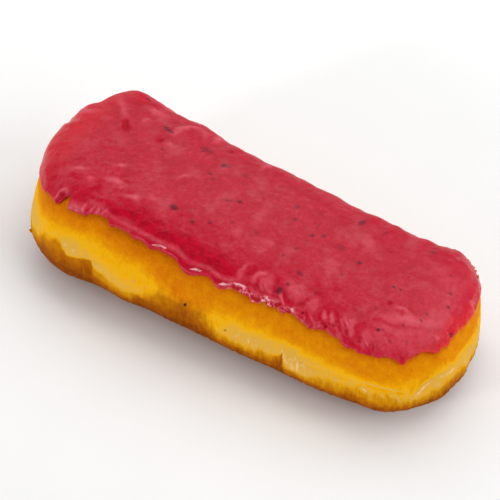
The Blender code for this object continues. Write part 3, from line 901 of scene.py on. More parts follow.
# line of (x, y) points, reach to each side in mm, height in mm, how pale, partly paler sugar and partly
# painted highlight
RIDGES = (
    (((-42.4, 15.7), (-42.2, 19.9), (-40.5, 22.8), (-38.2, 24.3)), 1.7, 0.40, 0.9),
    (((-38.2, 24.3), (-35, 23.5), (-33.3, 20.5)), 1.6, 0.22, 0.6),
    (((-32.4, 28.9), (-30.5, 24.6), (-29.6, 21.0)), 1.6, 0.28, 0.7),
    (((-69.8, 21.5), (-66.3, 18.9), (-62.2, 14.8), (-60.6, 12.6)), 2.0, 0.40, 0.5),
    (((-57.5, 21.8), (-55, 22.3), (-51.8, 22.2)), 2.2, 0.32, 0.8),
    (((-59.5, 30.5), (-56, 30.2), (-52, 29)), 2.2, 0.30, 0.7),
    (((-78.3, 19), (-78, 12.4), (-74.6, 9.6), (-69.8, 11)), 1.8, 0.45, 0.8),
    (((-55, 15.9), (-53.4, 15.3)), 2.4, 0.35, 0.6),
    (((-42, 10.8), (-38.6, 10.3)), 1.7, 0.22, 0.6),
    (((-29.1, -1.6), (-27.6, 0.4), (-26.0, 2.4)), 1.4, 0.16, 0.6),
    (((-48.8, -8.2), (-46.4, -7.0)), 1.3, 0.20, 1.0),
    (((-48.2, -14.6), (-45, -13.6), (-42.4, -14)), 1.5, 0.22, 0.9),
    (((-39, -17), (-36, -15.9), (-34.3, -15.7)), 1.3, 0.22, 1.0),
    (((-55, -17), (-51.4, -16.5)), 1.2, 0.16, 0.8),
    (((-61, -15.8), (-56.8, -14.7)), 1.3, 0.14, 0.8),
    (((-33, -12.8), (-28, -13.6)), 1.5, 0.12, 0.4),
    (((-9.7, 27), (-9.5, 23), (-9.2, 19)), 1.4, 0.16, 0.5),
    (((3, 8), (4, 1), (4.6, -6)), 2.4, 0.14, 0.35),
    (((0, -7.8), (2.5, -11.5)), 2.2, 0.14, 0.4),
    (((9.5, -9), (13.4, -8), (11.5, -14)), 2.0, 0.14, 0.35),
    (((45, 27), (47.5, 25), (50.5, 21)), 2.4, 0.24, 0.5),
    (((36, 13.4), (39.5, 11), (43.4, 8)), 2.8, 0.18, 0.4),
    (((31.5, -1), (35, -6), (37.5, -11.5)), 2.6, 0.14, 0.35),
    (((57.2, -14.2), (64, -12.2), (69.5, -8.3), (74, -4), (75.5, 0.5)), 2.0, 0.34, 0.85),
    (((61.5, -10.8), (67, -9.6), (72.4, -5.6)), 2.2, 0.28, 0.9),
    (((61.3, -7.7), (63.7, -6.6), (65.6, -7.5)), 1.2, 0.32, 1.0),
    (((56, -16.8), (66, -15.3), (73.5, -11)), 2.2, 0.20, 0.6),
    (((66.5, 20), (64, 14), (61.5, 9.5)), 2.2, 0.14, 0.3),
)
# line of (x, y) points, reach to each side in mm, depth in mm, how deep a red it is painted as shade, where
# over 1 widens the core
HOLLOWS = (
    (((-60.2, 12.2), (-58, 9.7), (-56.2, 7.2)), 1.3, 0.75, 2.0),
    (((-80.6, 10), (-79.3, 6), (-76, 2.6)), 0.9, 0.35, 0.6),
    (((-68.8, 17), (-65.2, 14.5), (-61.8, 11.6)), 1.3, 0.30, 0.45),
    (((-44.8, 11.6), (-44.1, 10.4)), 1.2, 0.55, 1.6),
    (((-50.2, 14.2), (-49.4, 12.2)), 1.1, 0.25, 0.5),
    (((-71.6, -4.9), (-70.8, -5.6)), 1.3, 0.12, 0.6),
    (((-66.3, 8.1), (-65.6, 7.2)), 1.2, 0.12, 0.5),
    (((47.0, 12.4), (47.6, 11.4)), 1.2, 0.50, 1.2),
    (((57.9, -7.0), (59.4, -7.9)), 1.1, 0.45, 1.1),
    (((62.6, -9.0), (65.4, -9.2)), 0.9, 0.35, 0.8),
    (((76.6, 2.5), (76.9, -2.5)), 0.9, 0.35, 0.5),
    (((69.8, 13.5), (71.6, 9)), 0.9, 0.15, 0.35),
    (((13, -20.2), (14.4, -21.6)), 1.7, 0.35, 0.7),
    (((5.5, -22.5), (8.2, -22.8)), 1.5, 0.25, 0.35),
)
print(len(RIDGES), "ridges and", len(HOLLOWS), "hollows on the top")

# %% Swirls and lines of the top
SWIRL_BEND = 0.012  # how strongly a swirl curves, in 1/mm


def swirls(x, y):
    """Height of the long low swells that a spatula leaves."""
    height = np.zeros(np.shape(x))
    for at_x, at_y, along, across, heading, tall in SWIRLS:
        run, off = turned_offsets(x, y, at_x, at_y, heading)
        # each swirl bends a little, as the spatula's path did
        height += tall * hump(np.abs(run), along) * hump(np.abs(off + SWIRL_BEND * run * run), across)
    return height


def lines_on_top(x, y, table, wobble):
    """Worked lines of the top, which thin out towards both ends."""
    height, colour = worked_lines(
        table,
        lambda line: line_distance(x, y, line),
        lambda along: 0.35 + 0.65 * np.sin(np.pi * along),
        TOP_WIDEN,
        wobble,
    )
    return TOP_RAISE * height, colour


print("and", len(SWIRLS), "swirls under them")

# %% Flecks of fruit skin and pips
# x, y, half length, half width, heading, how dark
FLECKS = (
    (-45.2, 16.1, 1.9, 0.6, -6, 1.0), (-46.3, 16.7, 0.8, 0.5, 10, 0.9), (-43.6, 15.8, 0.8, 0.5, 0, 0.8),
    (-29.2, 16.2, 1.9, 1.3, -20, 0.45), (-31, 15.6, 0.5, 0.4, 0, 0.8), (-29.5, 14.5, 0.6, 0.5, 30, 0.9),
    (-27.4, 16, 0.5, 0.4, 0, 0.8), (-22.5, -12.3, 1.4, 0.9, -5, 1.0), (-22, 7.1, 0.5, 0.5, 0, 0.8),
    (-41, 7.1, 0.5, 0.5, 0, 0.8), (-45.7, -3.7, 0.3, 0.4, 0, 0.6), (-44.3, -18.4, 0.6, 0.5, 0, 0.5),
    (-56, 1.0, 0.5, 0.3, 20, 0.5), (-60.5, -1.5, 0.5, 0.3, 0, 0.5), (-64, 3, 0.5, 0.3, 30, 0.45),
    (-19.7, 12.8, 1.1, 0.9, 20, 0.9), (-19, 13.6, 1.7, 1.2, 0, 0.4), (-22.6, 20.9, 0.8, 0.8, 0, 0.5),
    (-16, 20.9, 0.6, 0.6, 0, 0.5), (-21.2, 7.0, 0.9, 0.6, 0, 0.7), (-19.1, 5.5, 0.8, 0.5, 30, 0.7),
    (-5.6, 1.8, 0.8, 0.6, 10, 1.0), (-8.9, 0.1, 1.7, 0.6, 20, 0.6), (-11.2, 13.3, 1.0, 1.0, 0, 0.35),
    (-13.8, -14.1, 0.9, 0.6, 0, 0.8), (-8.6, -11.1, 0.7, 0.5, 0, 0.8), (-2.7, -7.3, 0.5, 0.5, 0, 0.6),
    (-16, -9.1, 0.3, 0.4, 0, 0.6), (11, 10.9, 0.9, 1.3, 0, 0.55), (13.8, 5.7, 0.8, 0.9, 0, 0.6),
    (6.4, -6.5, 1.5, 0.5, -25, 0.5), (22.5, 2.9, 0.7, 0.6, 15, 1.0), (25.7, 4.8, 0.7, 1.0, 0, 0.7),
    (18.6, 12.8, 0.7, 0.6, 0, 0.5), (21.4, 8.1, 0.6, 0.5, 0, 0.5), (20.9, -5.2, 0.5, 0.5, 0, 0.7),
    (19.3, -9.7, 0.5, 0.5, 0, 0.8), (27.9, -12.8, 1.3, 0.6, -15, 0.8), (25.4, -20.8, 1.1, 1.2, 0, 1.0),
    (26.8, -18.0, 0.6, 0.5, 0, 0.9), (2, -21.5, 0.4, 0.4, 0, 0.6), (-19.3, -21.2, 0.8, 0.7, 0, 0.4),
    (31.9, 18.5, 1.0, 1.7, 0, 0.85), (40.7, 19, 0.5, 1.0, 10, 0.7), (41.6, 1.5, 0.8, 0.6, 0, 1.0),
    (33.1, 4.0, 1.3, 1.0, 0, 0.45), (56.2, -0.9, 0.7, 0.5, 0, 1.0), (58.4, -0.4, 0.6, 0.4, -10, 0.8),
    (73.1, 4.2, 0.6, 0.5, 40, 0.95), (71, 9.1, 0.7, 0.4, 30, 0.9), (36.4, -16.5, 0.5, 0.5, 0, 0.8),
    (39.7, -6.1, 0.5, 0.5, 0, 0.6), (69.7, -7.1, 0.7, 0.4, -20, 0.75), (66.5, -11.9, 0.4, 0.4, 0, 0.7),
    (69.8, -3.4, 0.6, 0.8, 0, 0.5), (67.6, 15.7, 0.5, 0.5, 0, 0.6), (58.2, 20.9, 0.8, 1.2, 0, 0.5),
    (60.9, -17.4, 0.6, 0.5, 20, 1.0), (62.0, -16.6, 0.5, 0.4, 0, 0.6), (65.7, -18.4, 0.6, 0.5, 0, 0.45),
    (56.3, -11.7, 0.5, 0.4, 0, 0.7), (78.2, -2.5, 0.5, 0.9, 0, 0.9), (73.5, 27.5, 0.6, 0.8, 0, 0.8),
    (65, 31, 0.8, 0.5, 0, 0.6), (-62, 27, 0.8, 0.5, 10, 0.7), (48, 25, 0.6, 0.4, 0, 0.5),
)


def fleck_share(x, y):
    """How much of a fleck each point of the top is."""
    share = np.zeros(np.shape(x))
    for at_x, at_y, along, across, heading, dark in FLECKS:
        run, off = turned_offsets(x, y, at_x, at_y, heading)
        share = np.maximum(share, dark * smooth((1.55 - np.hypot(run / along, off / across)) / 1.1))
    return share


print(len(FLECKS), "flecks")

# %% Froth of the torn lip
BUBBLES = 340
# (place, share) of the lip that is froth
FROTH = (
    (0, 0), (44, 0.0), (48, 0.1), (60, 0.1), (63, 0), (110, 0), (113, 0.6), (117, 0.9), (119, 0.6),
    (121, 1), (130.8, 1), (131.8, 0.35), (133, 0.9), (135, 0.8), (136.2, 0.2), (139, 0.35), (141, 0.12),
    (150, 0.08), (152, 0), (400, 0),
)
FROTH_WIDTH = 2.6  # mm up from the edge
FROTH_FROM, FROTH_TO, FROTH_MOST = 112, 152, 124  # places between which most bubbles lie, and their peak
BUBBLE_SIZES = (0.40, 0.80)  # mm
BURST_SHARE = 0.36


def bubble_relief(points):
    """Height of the froth: small bubbles standing out, and burst ones that are pits."""
    draw = random.Random(SEED + 1)
    height = np.zeros(points.shape[:-1])
    for number in range(BUBBLES):
        at = draw.triangular(FROTH_FROM, FROTH_TO, FROTH_MOST) if number % 3 else draw.uniform(44, 200)
        up = draw.uniform(-0.2, FROTH_WIDTH)
        size = draw.uniform(*BUBBLE_SIZES)
        sign = -1.0 if draw.random() < BURST_SHARE else 0.75
        turn = up_from(icing_edge(np.array([at])), max(up, 0.0))
        centre = dough_points(np.array([at]), turn) + dough_normals(np.array([at]), turn) * 1.3
        gap = np.linalg.norm(points - centre[0], axis=-1)
        height += sign * size * 0.55 * hump(gap, size * 1.5)
    return height


print(BUBBLES, "bubbles in the froth")

# %% Where the icing is glossy, painted a deeper crimson as shade, or thin
# (place, turn) at which the glossy crimson shoulder, painted deeper as shade, gives way to the satin top
BAND_TOP = (
    (0, 56), (30, 52), (44, 57), (59, 57), (69, 60), (90, 60), (100, 59.3), (112, 58.5), (150, 58),
    (205, 58), (300, 58), (390, 56),
)
# (place, strength) of the painted shade on the crimson shoulder
BAND_SHADE_STRENGTH = (
    (0, 0.15), (30, 0.3), (36, 0.35), (50, 0.5), (58, 0.8), (64, 1), (110, 1), (112.5, 0.6), (115, 0.35),
    (150, 0.25), (195, 0.25), (215, 0.1), (260, 0.1), (300, 0.3), (360, 0.3), (390, 0.1),
)
# (place, shine) of the lip, which set glossy only along the middle of the front
LIP_SHINE = (
    (0, 0.1), (39, 0.1), (43, 0.5), (46, 0.2), (60, 0.35), (66, 0.5), (79, 0.55), (82, 1), (86, 1),
    (89, 0.6), (96, 0.6), (98, 1), (101, 1), (103.5, 0.6), (107, 0.7), (109, 1), (132, 1), (138, 0.5),
    (150, 0.3), (185, 0.2), (225, 0.2), (300, 0.3), (360, 0.3),
)
# (place, share) of the rim that is thin enough for the crust to shine through
THIN_RIM = (
    (0, 0.25), (30, 0.1), (44, 0), (176, 0), (184, 0.25), (192, 0.5), (200, 1), (219, 1), (222, 0.5),
    (240, 0.4), (262, 0.2), (300, 0), (372, 0), (388, 0.45), (400, 0.35),
)
THIN_WIDTH = 7.0  # mm up from the edge
# x, y, reach
THIN_SPOTS = (
    (-71.2, -5.3, 1.6), (-66, 7.6, 1.5), (-72.5, 13, 2.0), (-63, 25, 2.4), (77, 17, 3.0), (42, -22, 1.2),
)
# lumps of the shoulder away from the front: place, reach, height
SHOULDER_LUMPS = (
    (10, 4, 0.25), (19, 5, -0.15), (238, 5, 0.35), (246, 6, 0.4), (255, 5, 0.85), (267, 3, 0.5),
    (275, 5, 0.35), (292, 9, 0.3), (304, 6, 0.2), (321, 8, -0.2), (331, 4, 0.5), (346, 8, 0.25),
    (363, 3, -0.2), (367, 3, 0.5), (375, 6, 0.75), (381, 5, 0.35), (387, 3, -0.3), (392, 4, 0.5),
    (406, 4, 0.5),
)


def mottles(points):
    """Lumps of three sizes for the relief and the colours of the icing."""
    return lumps(points, 8.0, 21, 3), lumps(points, 2.6, 22, 2), lumps(points, 1.5, 23, 3)


print("the rim is thin from place", min(at for at, share in THIN_RIM if share == 1), "round the right end")

# %% Rows of the sheet
EDGE_FOLLOW = 8.0  # mm up from the edge over which the rows still follow the notch


def sheet_rows(place):
    """Turn and height above the dough of each row, station by row, and a mask of the outer face."""
    whole, rise = whole_edge(place)[:, None], notch_rise(place)[:, None]
    distance, lip_lift = lip_rows(place)
    # only the lip follows the notch, and the rows above it come back to the whole edge
    follow = 1 - smooth(distance / EDGE_FOLLOW)
    lip = up_from(whole, distance) + rise * follow
    share = (np.arange(1, FAR_ROWS + 1) / FAR_ROWS)[None]
    far = lip[:, -1:] + (90 - lip[:, -1:]) * share
    inside = np.array(UNDERSIDE)[::-1][None]
    under = up_from(whole, inside) + rise * (1 - smooth(inside / EDGE_FOLLOW))
    turn = np.concatenate([np.full_like(whole, 90.0), under, lip, far], axis=1)
    lift = np.full_like(turn, ICING_GAP)
    first = 1 + under.shape[1]
    lift[:, first : first + lip.shape[1]] = lip_lift
    lift[:, first + lip.shape[1] :] = ICING_GAP + SHEET
    outer = np.zeros_like(turn)
    outer[:, first:] = 1.0
    # the relief fades in round the lip, from its underside to its face
    angles = np.array(LIP_ANGLES)
    outer[:, first : first + len(angles)] *= ease(angles, -60, 10)
    shadow = np.zeros_like(turn)
    shadow[:, first : first + len(angles)] = ease(angles, 20, -20)
    return turn, lift, outer, shadow


print("the sheet has", sheet_rows(np.array([0.0]))[0].shape[1], "rows from its underside to the spine")

# %% What shapes the sheet
LINE_FRAY = 0.6  # how much the small lumps fray the folds
FROTH_FADE, TORN_WIDTH, TORN_FADE = 1.2, 7.0, 5.0  # mm


def sheet_layers(places, turn, base, points):
    """Every fold, hollow, bubble and fray of the sheet by name, as a height in mm or as a share."""
    x, y = base[..., 0], base[..., 1]
    layer = SimpleNamespace(places=places, turn=turn, x=x, y=y)
    layer.above = (turn - whole_edge(places[:, :1])) * MM_PER_DEGREE
    layer.away = (turn - icing_edge(places[:, :1])) * MM_PER_DEGREE
    layer.broad, layer.middle, layer.small = mottles(points)
    fray = layer.middle + LINE_FRAY * layer.small
    layer.fold, layer.fold_pale = lines_on_side(places, turn, FOLDS, fray)
    layer.valley, layer.valley_deep = lines_on_side(places, turn, VALLEYS, fray)
    layer.ridge, layer.ridge_pale = lines_on_top(x, y, RIDGES, layer.middle)
    layer.hollow, layer.hollow_deep = lines_on_top(x, y, HOLLOWS, layer.middle)
    layer.cavity, layer.streaks = burst(places, turn), frayed(places, turn)
    layer.froth = along_loop(places, FROTH) * smooth((FROTH_WIDTH - layer.away) / FROTH_FADE)
    layer.torn = torn_share(places) * smooth((TORN_WIDTH - layer.away) / TORN_FADE)
    return layer


print("the froth fades over", FROTH_FADE, "mm and the torn lip over", TORN_FADE, "mm")

# %% Relief of the sheet
# height in mm of the broad and the middle lumps, the torn lip's grain, its streaks and the flecks
BROAD_RELIEF, MIDDLE_RELIEF, TORN_RELIEF, STREAK_RELIEF, FLECK_RELIEF = 0.40, 0.19, 0.14, 0.22, 0.06
FROTH_WHERE_TORN = 0.16  # share of the froth's bubbles that the rest of the torn lip has
SHOULDER_AT, SHOULDER_REACH = 44, 26  # turn of the shoulder's lumps, and degrees to each side


def sheet_relief(layer, points):
    """Height of the relief in mm. The ends are lumpier than the middle, but for the smooth left shoulder."""
    busy = 0.6 + 0.5 * ease(layer.x, -25, -50) + 0.3 * ease(layer.x, 45, 65)
    busy = busy * (1 - 0.6 * ease(layer.x, -64, -74) * ease(layer.turn, 64, 54))
    relief = (layer.fold - layer.valley) * smooth(layer.away / 1.2 + 0.4)
    relief = relief + swirls(layer.x, layer.y) + layer.ridge - layer.hollow
    relief += busy * (BROAD_RELIEF * layer.broad + MIDDLE_RELIEF * layer.middle)
    relief += TORN_RELIEF * layer.torn * layer.small + STREAK_RELIEF * layer.streaks
    bubbles = np.maximum(layer.froth, FROTH_WHERE_TORN * layer.torn)
    relief += bubble_relief(points) * bubbles - CAVITY_DEPTH * layer.cavity
    for at, reach, tall in SHOULDER_LUMPS:
        swell = hump(apart(layer.places, at), reach) * hump(np.abs(layer.turn - SHOULDER_AT), SHOULDER_REACH)
        relief += tall * swell
    return relief


print("the broad lumps are", BROAD_RELIEF, "mm high, and the shoulder has", len(SHOULDER_LUMPS), "more")

# %% [markdown]
# ## Marks that the finish will read
#
# A finish made of nodes can't know where a fold or the rim is, but the mesh can tell it. So each vertex
# gets a share, from 0 to 1, of everything that has a colour or a shine of its own: how pale it was
# worked, how deep and crimson it lies, how thin it is. Some shares are painted light: highlights on
# ridges, folds and the bead's crest, glints, light on the right end, and shade in valleys, hollows, on
# the front shoulder and under the lip. Painting such masks by hand would work too, but these follow the
# relief.

# %% Marks of the sheet


def pale_and_highlight_share(layer):
    """How pale each point is painted: folds and ridges, partly pale sugar and partly painted highlight, the
    bead's crest, the ragged fringe, and painted light on the right shoulder and end.
    """
    crest, _ = path_distance(layer.places, layer.turn, BEAD_CREST_HIGHLIGHT)
    # painted light: the right shoulder is painted paler, as if lit from the right
    painted_light_right = 0.36 * window(layer.places, 150, 236, 25, 10)
    painted_light_right = painted_light_right * hump(np.abs(layer.turn - 52), 14) * (1 + 0.5 * layer.broad)
    fringe = 0.5 * fringe_share(layer.places) * layer.torn
    # painted light on the top of the right end
    painted_light_tip = 0.28 * ease(layer.x, 60, 75) * ease(layer.turn, 50, 60)
    # painted highlight along the bead's crest
    bead_highlight = 0.4 * hump(crest, 1.2)
    return np.maximum.reduce(
        [layer.fold_pale, layer.ridge_pale, bead_highlight, fringe, painted_light_tip, painted_light_right, 1.6 * layer.streaks]
    )


def glint_share(layer):
    """The painted glints: near-white highlights painted on the lip, each a thin line that is widest in its
    middle.
    """
    glint = np.zeros_like(layer.turn)
    for line in PAINTED_GLINTS:
        distance, along = path_distance(layer.places, layer.turn, line)
        wide = 0.18 + 0.22 * tapered(along, 3)
        glint = np.maximum(glint, hump(distance * (1 + 0.8 * layer.small), wide))
    return glint


def band_shade_share(layer):
    """The glossy crimson shoulder, painted a deeper red as shade."""
    top = along_loop(layer.places, BAND_TOP) + 0.8 * layer.middle
    band = smooth((top - layer.turn) / 2.0) * ease(layer.above, 0.6, 2.6)
    return band * along_loop(layer.places, BAND_SHADE_STRENGTH)


def thin_share(layer):
    """Where the crust shines through: along the rim, on both ends and in a few spots."""
    rim = THIN_WIDTH * (1 + 0.3 * layer.broad) - layer.away
    thin = along_loop(layer.places, THIN_RIM) * smooth(rim / 4)
    ends = np.maximum(1.5 * ease(layer.x, -60, -77), 0.4 * ease(layer.x, 58, 76))
    thin = np.maximum(thin, 0.5 * ends)
    for at_x, at_y, reach in THIN_SPOTS:
        thin = np.maximum(thin, 0.6 * hump(np.hypot(layer.x - at_x, layer.y - at_y), reach))
    return thin


print(len(PAINTED_GLINTS), "glints and", len(THIN_SPOTS), "thin spots")

# %% All marks together


def sheet_marks(layer, outer, shadow, fleck):
    """The shares that the icing's finish reads, by name."""
    places, turn = layer.places, layer.turn
    dull = window(places, 240, 404, 12, 12) * ease(turn, 64, 50)
    shine = ease(layer.away, 4.5, 1.0) * along_loop(places, LIP_SHINE)
    # the darkest cores of valleys and hollows take the pit colour as painted shade
    shaded_dents = smooth(np.maximum(3 * layer.hollow_deep - 1.8, 8 * layer.valley_deep - 7.2))
    # deep red, mostly painted shade: the shoulder that mirrors little light, the valleys, the hollows and the
    # lip's underside
    deep = np.maximum.reduce(
        [band_shade_share(layer), layer.valley_deep, layer.hollow_deep, shadow, -1.4 * layer.streaks]
    )
    raised = np.maximum(layer.fold_pale, layer.ridge_pale)
    return {
        "shine": shine - 1.6 * dull - 1.5 * shadow,
        "pit": np.maximum(np.minimum(1.4 * layer.cavity, 1), 0.8 * shaded_dents) * outer,
        "pale": np.clip(pale_and_highlight_share(layer) * (1 - 0.7 * layer.valley_deep) * (1 - layer.cavity), 0, 1),
        "deep": np.clip(deep * (1 - 0.8 * raised), 0, 1),
        "fleck": fleck,
        "froth": layer.froth * (1 - np.sqrt(layer.cavity)) * (1 - shadow),
        "glint": np.clip(glint_share(layer), 0, 1) * outer,
        "thin": thin_share(layer),
        "rim": along_loop(places, THIN_RIM) * ease(layer.away, 1.7, 0.2),
    }


def build_icing():
    """The sheet of icing, from its underside round the lip and over the top to the spine."""
    place = stations()
    turn, lift, outer, shadow = sheet_rows(place)
    places = np.broadcast_to(place[:, None], turn.shape)
    base, out = dough_points(places, turn), dough_normals(places, turn)
    points = base + out * lift[..., None]
    layer = sheet_layers(places, turn, base, points)
    fleck = fleck_share(layer.x, layer.y) * outer
    relief = (sheet_relief(layer, points) + FLECK_RELIEF * fleck) * outer
    marks = sheet_marks(layer, outer, shadow, fleck)
    return wrapped_grid("icing_sheet", points + out * relief[..., None], marks)


icing = build_icing()
print("icing:", len(icing.data.polygons), "faces")

# %% [markdown]
# ## A short way to write node materials
#
# Both finishes are procedural: attributes and noise go through colour ramps into one Principled shader.
# Clicking them together is quick for one material, but a small helper that adds a node, sets its values
# and joins its inputs keeps a longer network readable in text.

# %% Screen colours


def srgb(red, green, blue):
    """A colour given as 0 to 255 screen values, as the linear colour that nodes work in."""
    values = np.array([red, green, blue]) / 255
    linear = np.where(values <= 0.04045, values / 12.92, ((values + 0.055) / 1.055) ** 2.4)
    return (*linear.tolist(), 1.0)


print("mid grey is", round(srgb(128, 128, 128)[0], 3), "in linear light")

# %% A material under construction


class Finish:
    """A node material under construction."""

    def __init__(self, name):
        self.material = bpy.data.materials.new(name)
        self.material.use_nodes = True
        self.tree = self.material.node_tree
        self.shader = self.tree.nodes["Principled BSDF"]
        self.space = self.add("ShaderNodeTexCoord").outputs["Object"]

    def add(self, kind, settings=(), **inputs):
        """A node with its settings made and its inputs set to values or joined to sockets."""
        node = self.tree.nodes.new(kind)
        for key, value in dict(settings).items():
            setattr(node, key, value)
        for key, value in inputs.items():
            self.join(value, node.inputs[int(key[1:]) if key[1:].isdigit() else key.replace("_", " ")])
        return node

    def join(self, value, socket):
        """Join a socket to another one, or set it to a plain value."""
        if isinstance(value, bpy.types.NodeSocket):
            self.tree.links.new(value, socket)
        else:
            socket.default_value = value

    def shade(self, **inputs):
        """Set the shader's own inputs, or join them to sockets."""
        for key, value in inputs.items():
            self.join(value, self.shader.inputs[key.replace("_", " ")])

    def mark(self, name):
        """A float attribute of the mesh."""
        node = self.add("ShaderNodeAttribute", {"attribute_name": name})
        return node.outputs["Fac"]

    def grain(self, size_mm, detail=3.0, rough=0.5, stretch=(1, 1, 1)):
        """Noise whose lumps have the given size, from 0 to 1 with 0.5 in the middle."""
        place = self.add("ShaderNodeMapping", Vector=self.space, Scale=stretch).outputs[0]
        fineness = {"Scale": 1 / (size_mm * MM), "Detail": detail, "Roughness": rough}
        return self.add("ShaderNodeTexNoise", Vector=place, **fineness).outputs["Fac"]

    def ramp(self, value, stops):
        """A colour ramp with (position, colour) stops."""
        node = self.add("ShaderNodeValToRGB", Fac=value)
        band = node.color_ramp
        while len(band.elements) < len(stops):
            band.elements.new(0.5)
        for element, (position, colour) in zip(band.elements, stops):
            element.position = position
            element.color = colour
        return node.outputs["Color"]

    def math(self, kind, a, b=0.0, c=0.0):
        """One sum, product or limit of up to three values or sockets."""
        return self.add("ShaderNodeMath", {"operation": kind}, _0=a, _1=b, _2=c).outputs[0]

    def swung(self, noise, spread):
        """Noise made to swing about 0, over the given spread."""
        return self.math("MULTIPLY_ADD", noise, spread, -spread / 2)

    def ragged(self, name, noise, spread):
        """A mesh attribute whose soft borders are broken up by noise."""
        mark = self.mark(name)
        near = self.math("MINIMUM", self.math("MULTIPLY", mark, 3.0), 1.0)
        shift = self.math("MULTIPLY", self.swung(noise, spread), near)
        node = self.add("ShaderNodeMath", {"operation": "ADD", "use_clamp": True}, _0=mark, _1=shift)
        return node.outputs[0]

    def blend(self, share, a, b):
        """Two colours mixed."""
        node = self.add("ShaderNodeMix", {"data_type": "RGBA"})
        self.join(share, node.inputs[0])
        self.join(a, node.inputs[6])
        self.join(b, node.inputs[7])
        return node.outputs[2]

    def bump(self, height, distance_mm, strength=1.0, under=None):
        """A bump that can lie over another one."""
        node = self.add("ShaderNodeBump", Height=height, Distance=distance_mm * MM, Strength=strength)
        if under is not None:
            self.join(under, node.inputs["Normal"])
        return node.outputs["Normal"]


print("a finish has", len([name for name in vars(Finish) if not name.startswith("_")]), "helpers")

# %% [markdown]
# ## Finish of the fried crust
#
# The bake attribute picks the colour, with noise at two sizes to break its edges up. In the pale band the
# skin is drawn into fine upright strands, which is noise stretched upwards, and bits of pale fuzz are
# painted in lighter, partly as painted highlights. Crust is a dull skin with a little fat in it, so it is
# rough, it hardly shines, and light goes a short way in. Pores and wrinkles that are too small for the mesh
# are bump.

# %% Crust material
UPPER_COLOURS = (
    (0.00, srgb(246, 206, 142)),
    (0.18, srgb(222, 170, 72)),
    (0.38, srgb(244, 178, 2)),
    (0.48, srgb(232, 150, 0)),
    (0.60, srgb(218, 121, 0)),
    (0.78, srgb(178, 90, 0)),
    (1.00, srgb(128, 60, 0)),
)
LOWER_COLOURS = (
    (0.00, srgb(246, 206, 142)),
    (0.16, srgb(219, 166, 69)),
    (0.34, srgb(216, 154, 12)),
    (0.50, srgb(202, 130, 0)),
    (0.66, srgb(182, 104, 0)),
    (0.84, srgb(156, 80, 0)),
    (1.00, srgb(122, 56, 0)),
)
# pale fuzz, partly its own colour and partly painted highlight
FUZZ_AND_HIGHLIGHT_COLOUR = srgb(244, 190, 70)
SOOT_COLOUR, PINK_COLOUR = srgb(24, 14, 10), srgb(236, 130, 90)
PATCH_SWING, SPECK_SWING, STRAND_SWING = 0.20, 0.20, 0.96  # how far each noise changes the bake
UPRIGHT = (1, 1, 0.16)  # stretches noise into strands up the side
FUZZ_CONTRAST, FUZZ_SHIFT = 12.0, -8.6  # leaves only the highest spots of its noise
CRUST_ROUGH, CRUST_ROUGH_SWING = 0.62, 0.2
WRINKLE_HEIGHT, PORE_HEIGHT = 0.35, 0.14  # mm


def crust_finish():
    """The crust: the bake picks its colour, and fuzz, specks, pores and wrinkles lie over it."""
    crust = Finish("fried_crust")
    patches = crust.swung(crust.grain(3.0, 5.0, 0.65), PATCH_SWING)
    specks = crust.swung(crust.grain(0.7, 3.0, 0.7), SPECK_SWING)
    strands = crust.swung(crust.grain(1.1, 5.0, 0.8, UPRIGHT), STRAND_SWING)
    strands = crust.math("MULTIPLY", strands, crust.mark("wrinkled"))
    baked = crust.math("ADD", crust.mark("bake"), patches)
    bake = crust.math("ADD", baked, crust.math("ADD", specks, strands))
    colour = crust.blend(crust.mark("low"), crust.ramp(bake, UPPER_COLOURS), crust.ramp(bake, LOWER_COLOURS))
    # fuzz, partly pale fibres and partly painted highlight, then dark specks and pink ones
    fuzz_and_highlight = crust.grain(0.8, 3.0, 0.75, (1, 0.5, 1))
    fuzz_and_highlight = crust.math("MULTIPLY_ADD", fuzz_and_highlight, FUZZ_CONTRAST, FUZZ_SHIFT)
    fuzz_and_highlight = crust.math("MULTIPLY", crust.math("MINIMUM", fuzz_and_highlight, 1.0), 0.5)
    colour = crust.blend(crust.math("MAXIMUM", fuzz_and_highlight, 0.0), colour, FUZZ_AND_HIGHLIGHT_COLOUR)
    colour = crust.blend(crust.mark("soot"), colour, SOOT_COLOUR)
    colour = crust.blend(crust.math("MULTIPLY", crust.mark("pink"), 0.5), colour, PINK_COLOUR)
    rough = crust.math("MULTIPLY_ADD", crust.grain(1.2), CRUST_ROUGH_SWING, CRUST_ROUGH)
    wrinkles = crust.bump(crust.grain(2.4, 4.0, 0.6), WRINKLE_HEIGHT)
    pores = crust.bump(crust.grain(0.55, 3.0, 0.6), PORE_HEIGHT, under=wrinkles)
    crust.shade(Base_Color=colour, Roughness=rough, Normal=pores, Specular_IOR_Level=0.04)
    crust.shade(Subsurface_Weight=0.12, Subsurface_Radius=(1.0, 0.6, 0.2), Subsurface_Scale=1.2 * MM)
    return crust.material


dough.data.materials.append(crust_finish())
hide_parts("dough")
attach(dough, "root")
print("crust finish:", len(dough.data.materials[0].node_tree.nodes), "nodes")

# %% [markdown]
# ## Finish of the berry icing
#
# Sugar icing with fruit in it is a saturated crimson that light enters a little. The top has dried to a
# satin skin, the lip is still glossy. Painted shade makes it deepest on the front shoulder, in the valleys
# and under the lip. It is paler where the spatula worked it, partly paler sugar and partly painted highlight,
# and glints on the lip and light on the right end are painted too. Near its thin rim the crust shines
# through. A faint bloom comes in patches, partly whiter dried sugar and partly painted sheen. The dark
# flecks are fruit skin and pips. The marks made with the mesh say where each of these lies, and noise
# frays their borders.

# %% Icing material
ICING_COLOURS = (
    (0.00, srgb(172, 0, 30)),
    (0.35, srgb(188, 0, 39)),
    (0.60, srgb(195, 16, 49)),
    (1.00, srgb(206, 52, 74)),
)
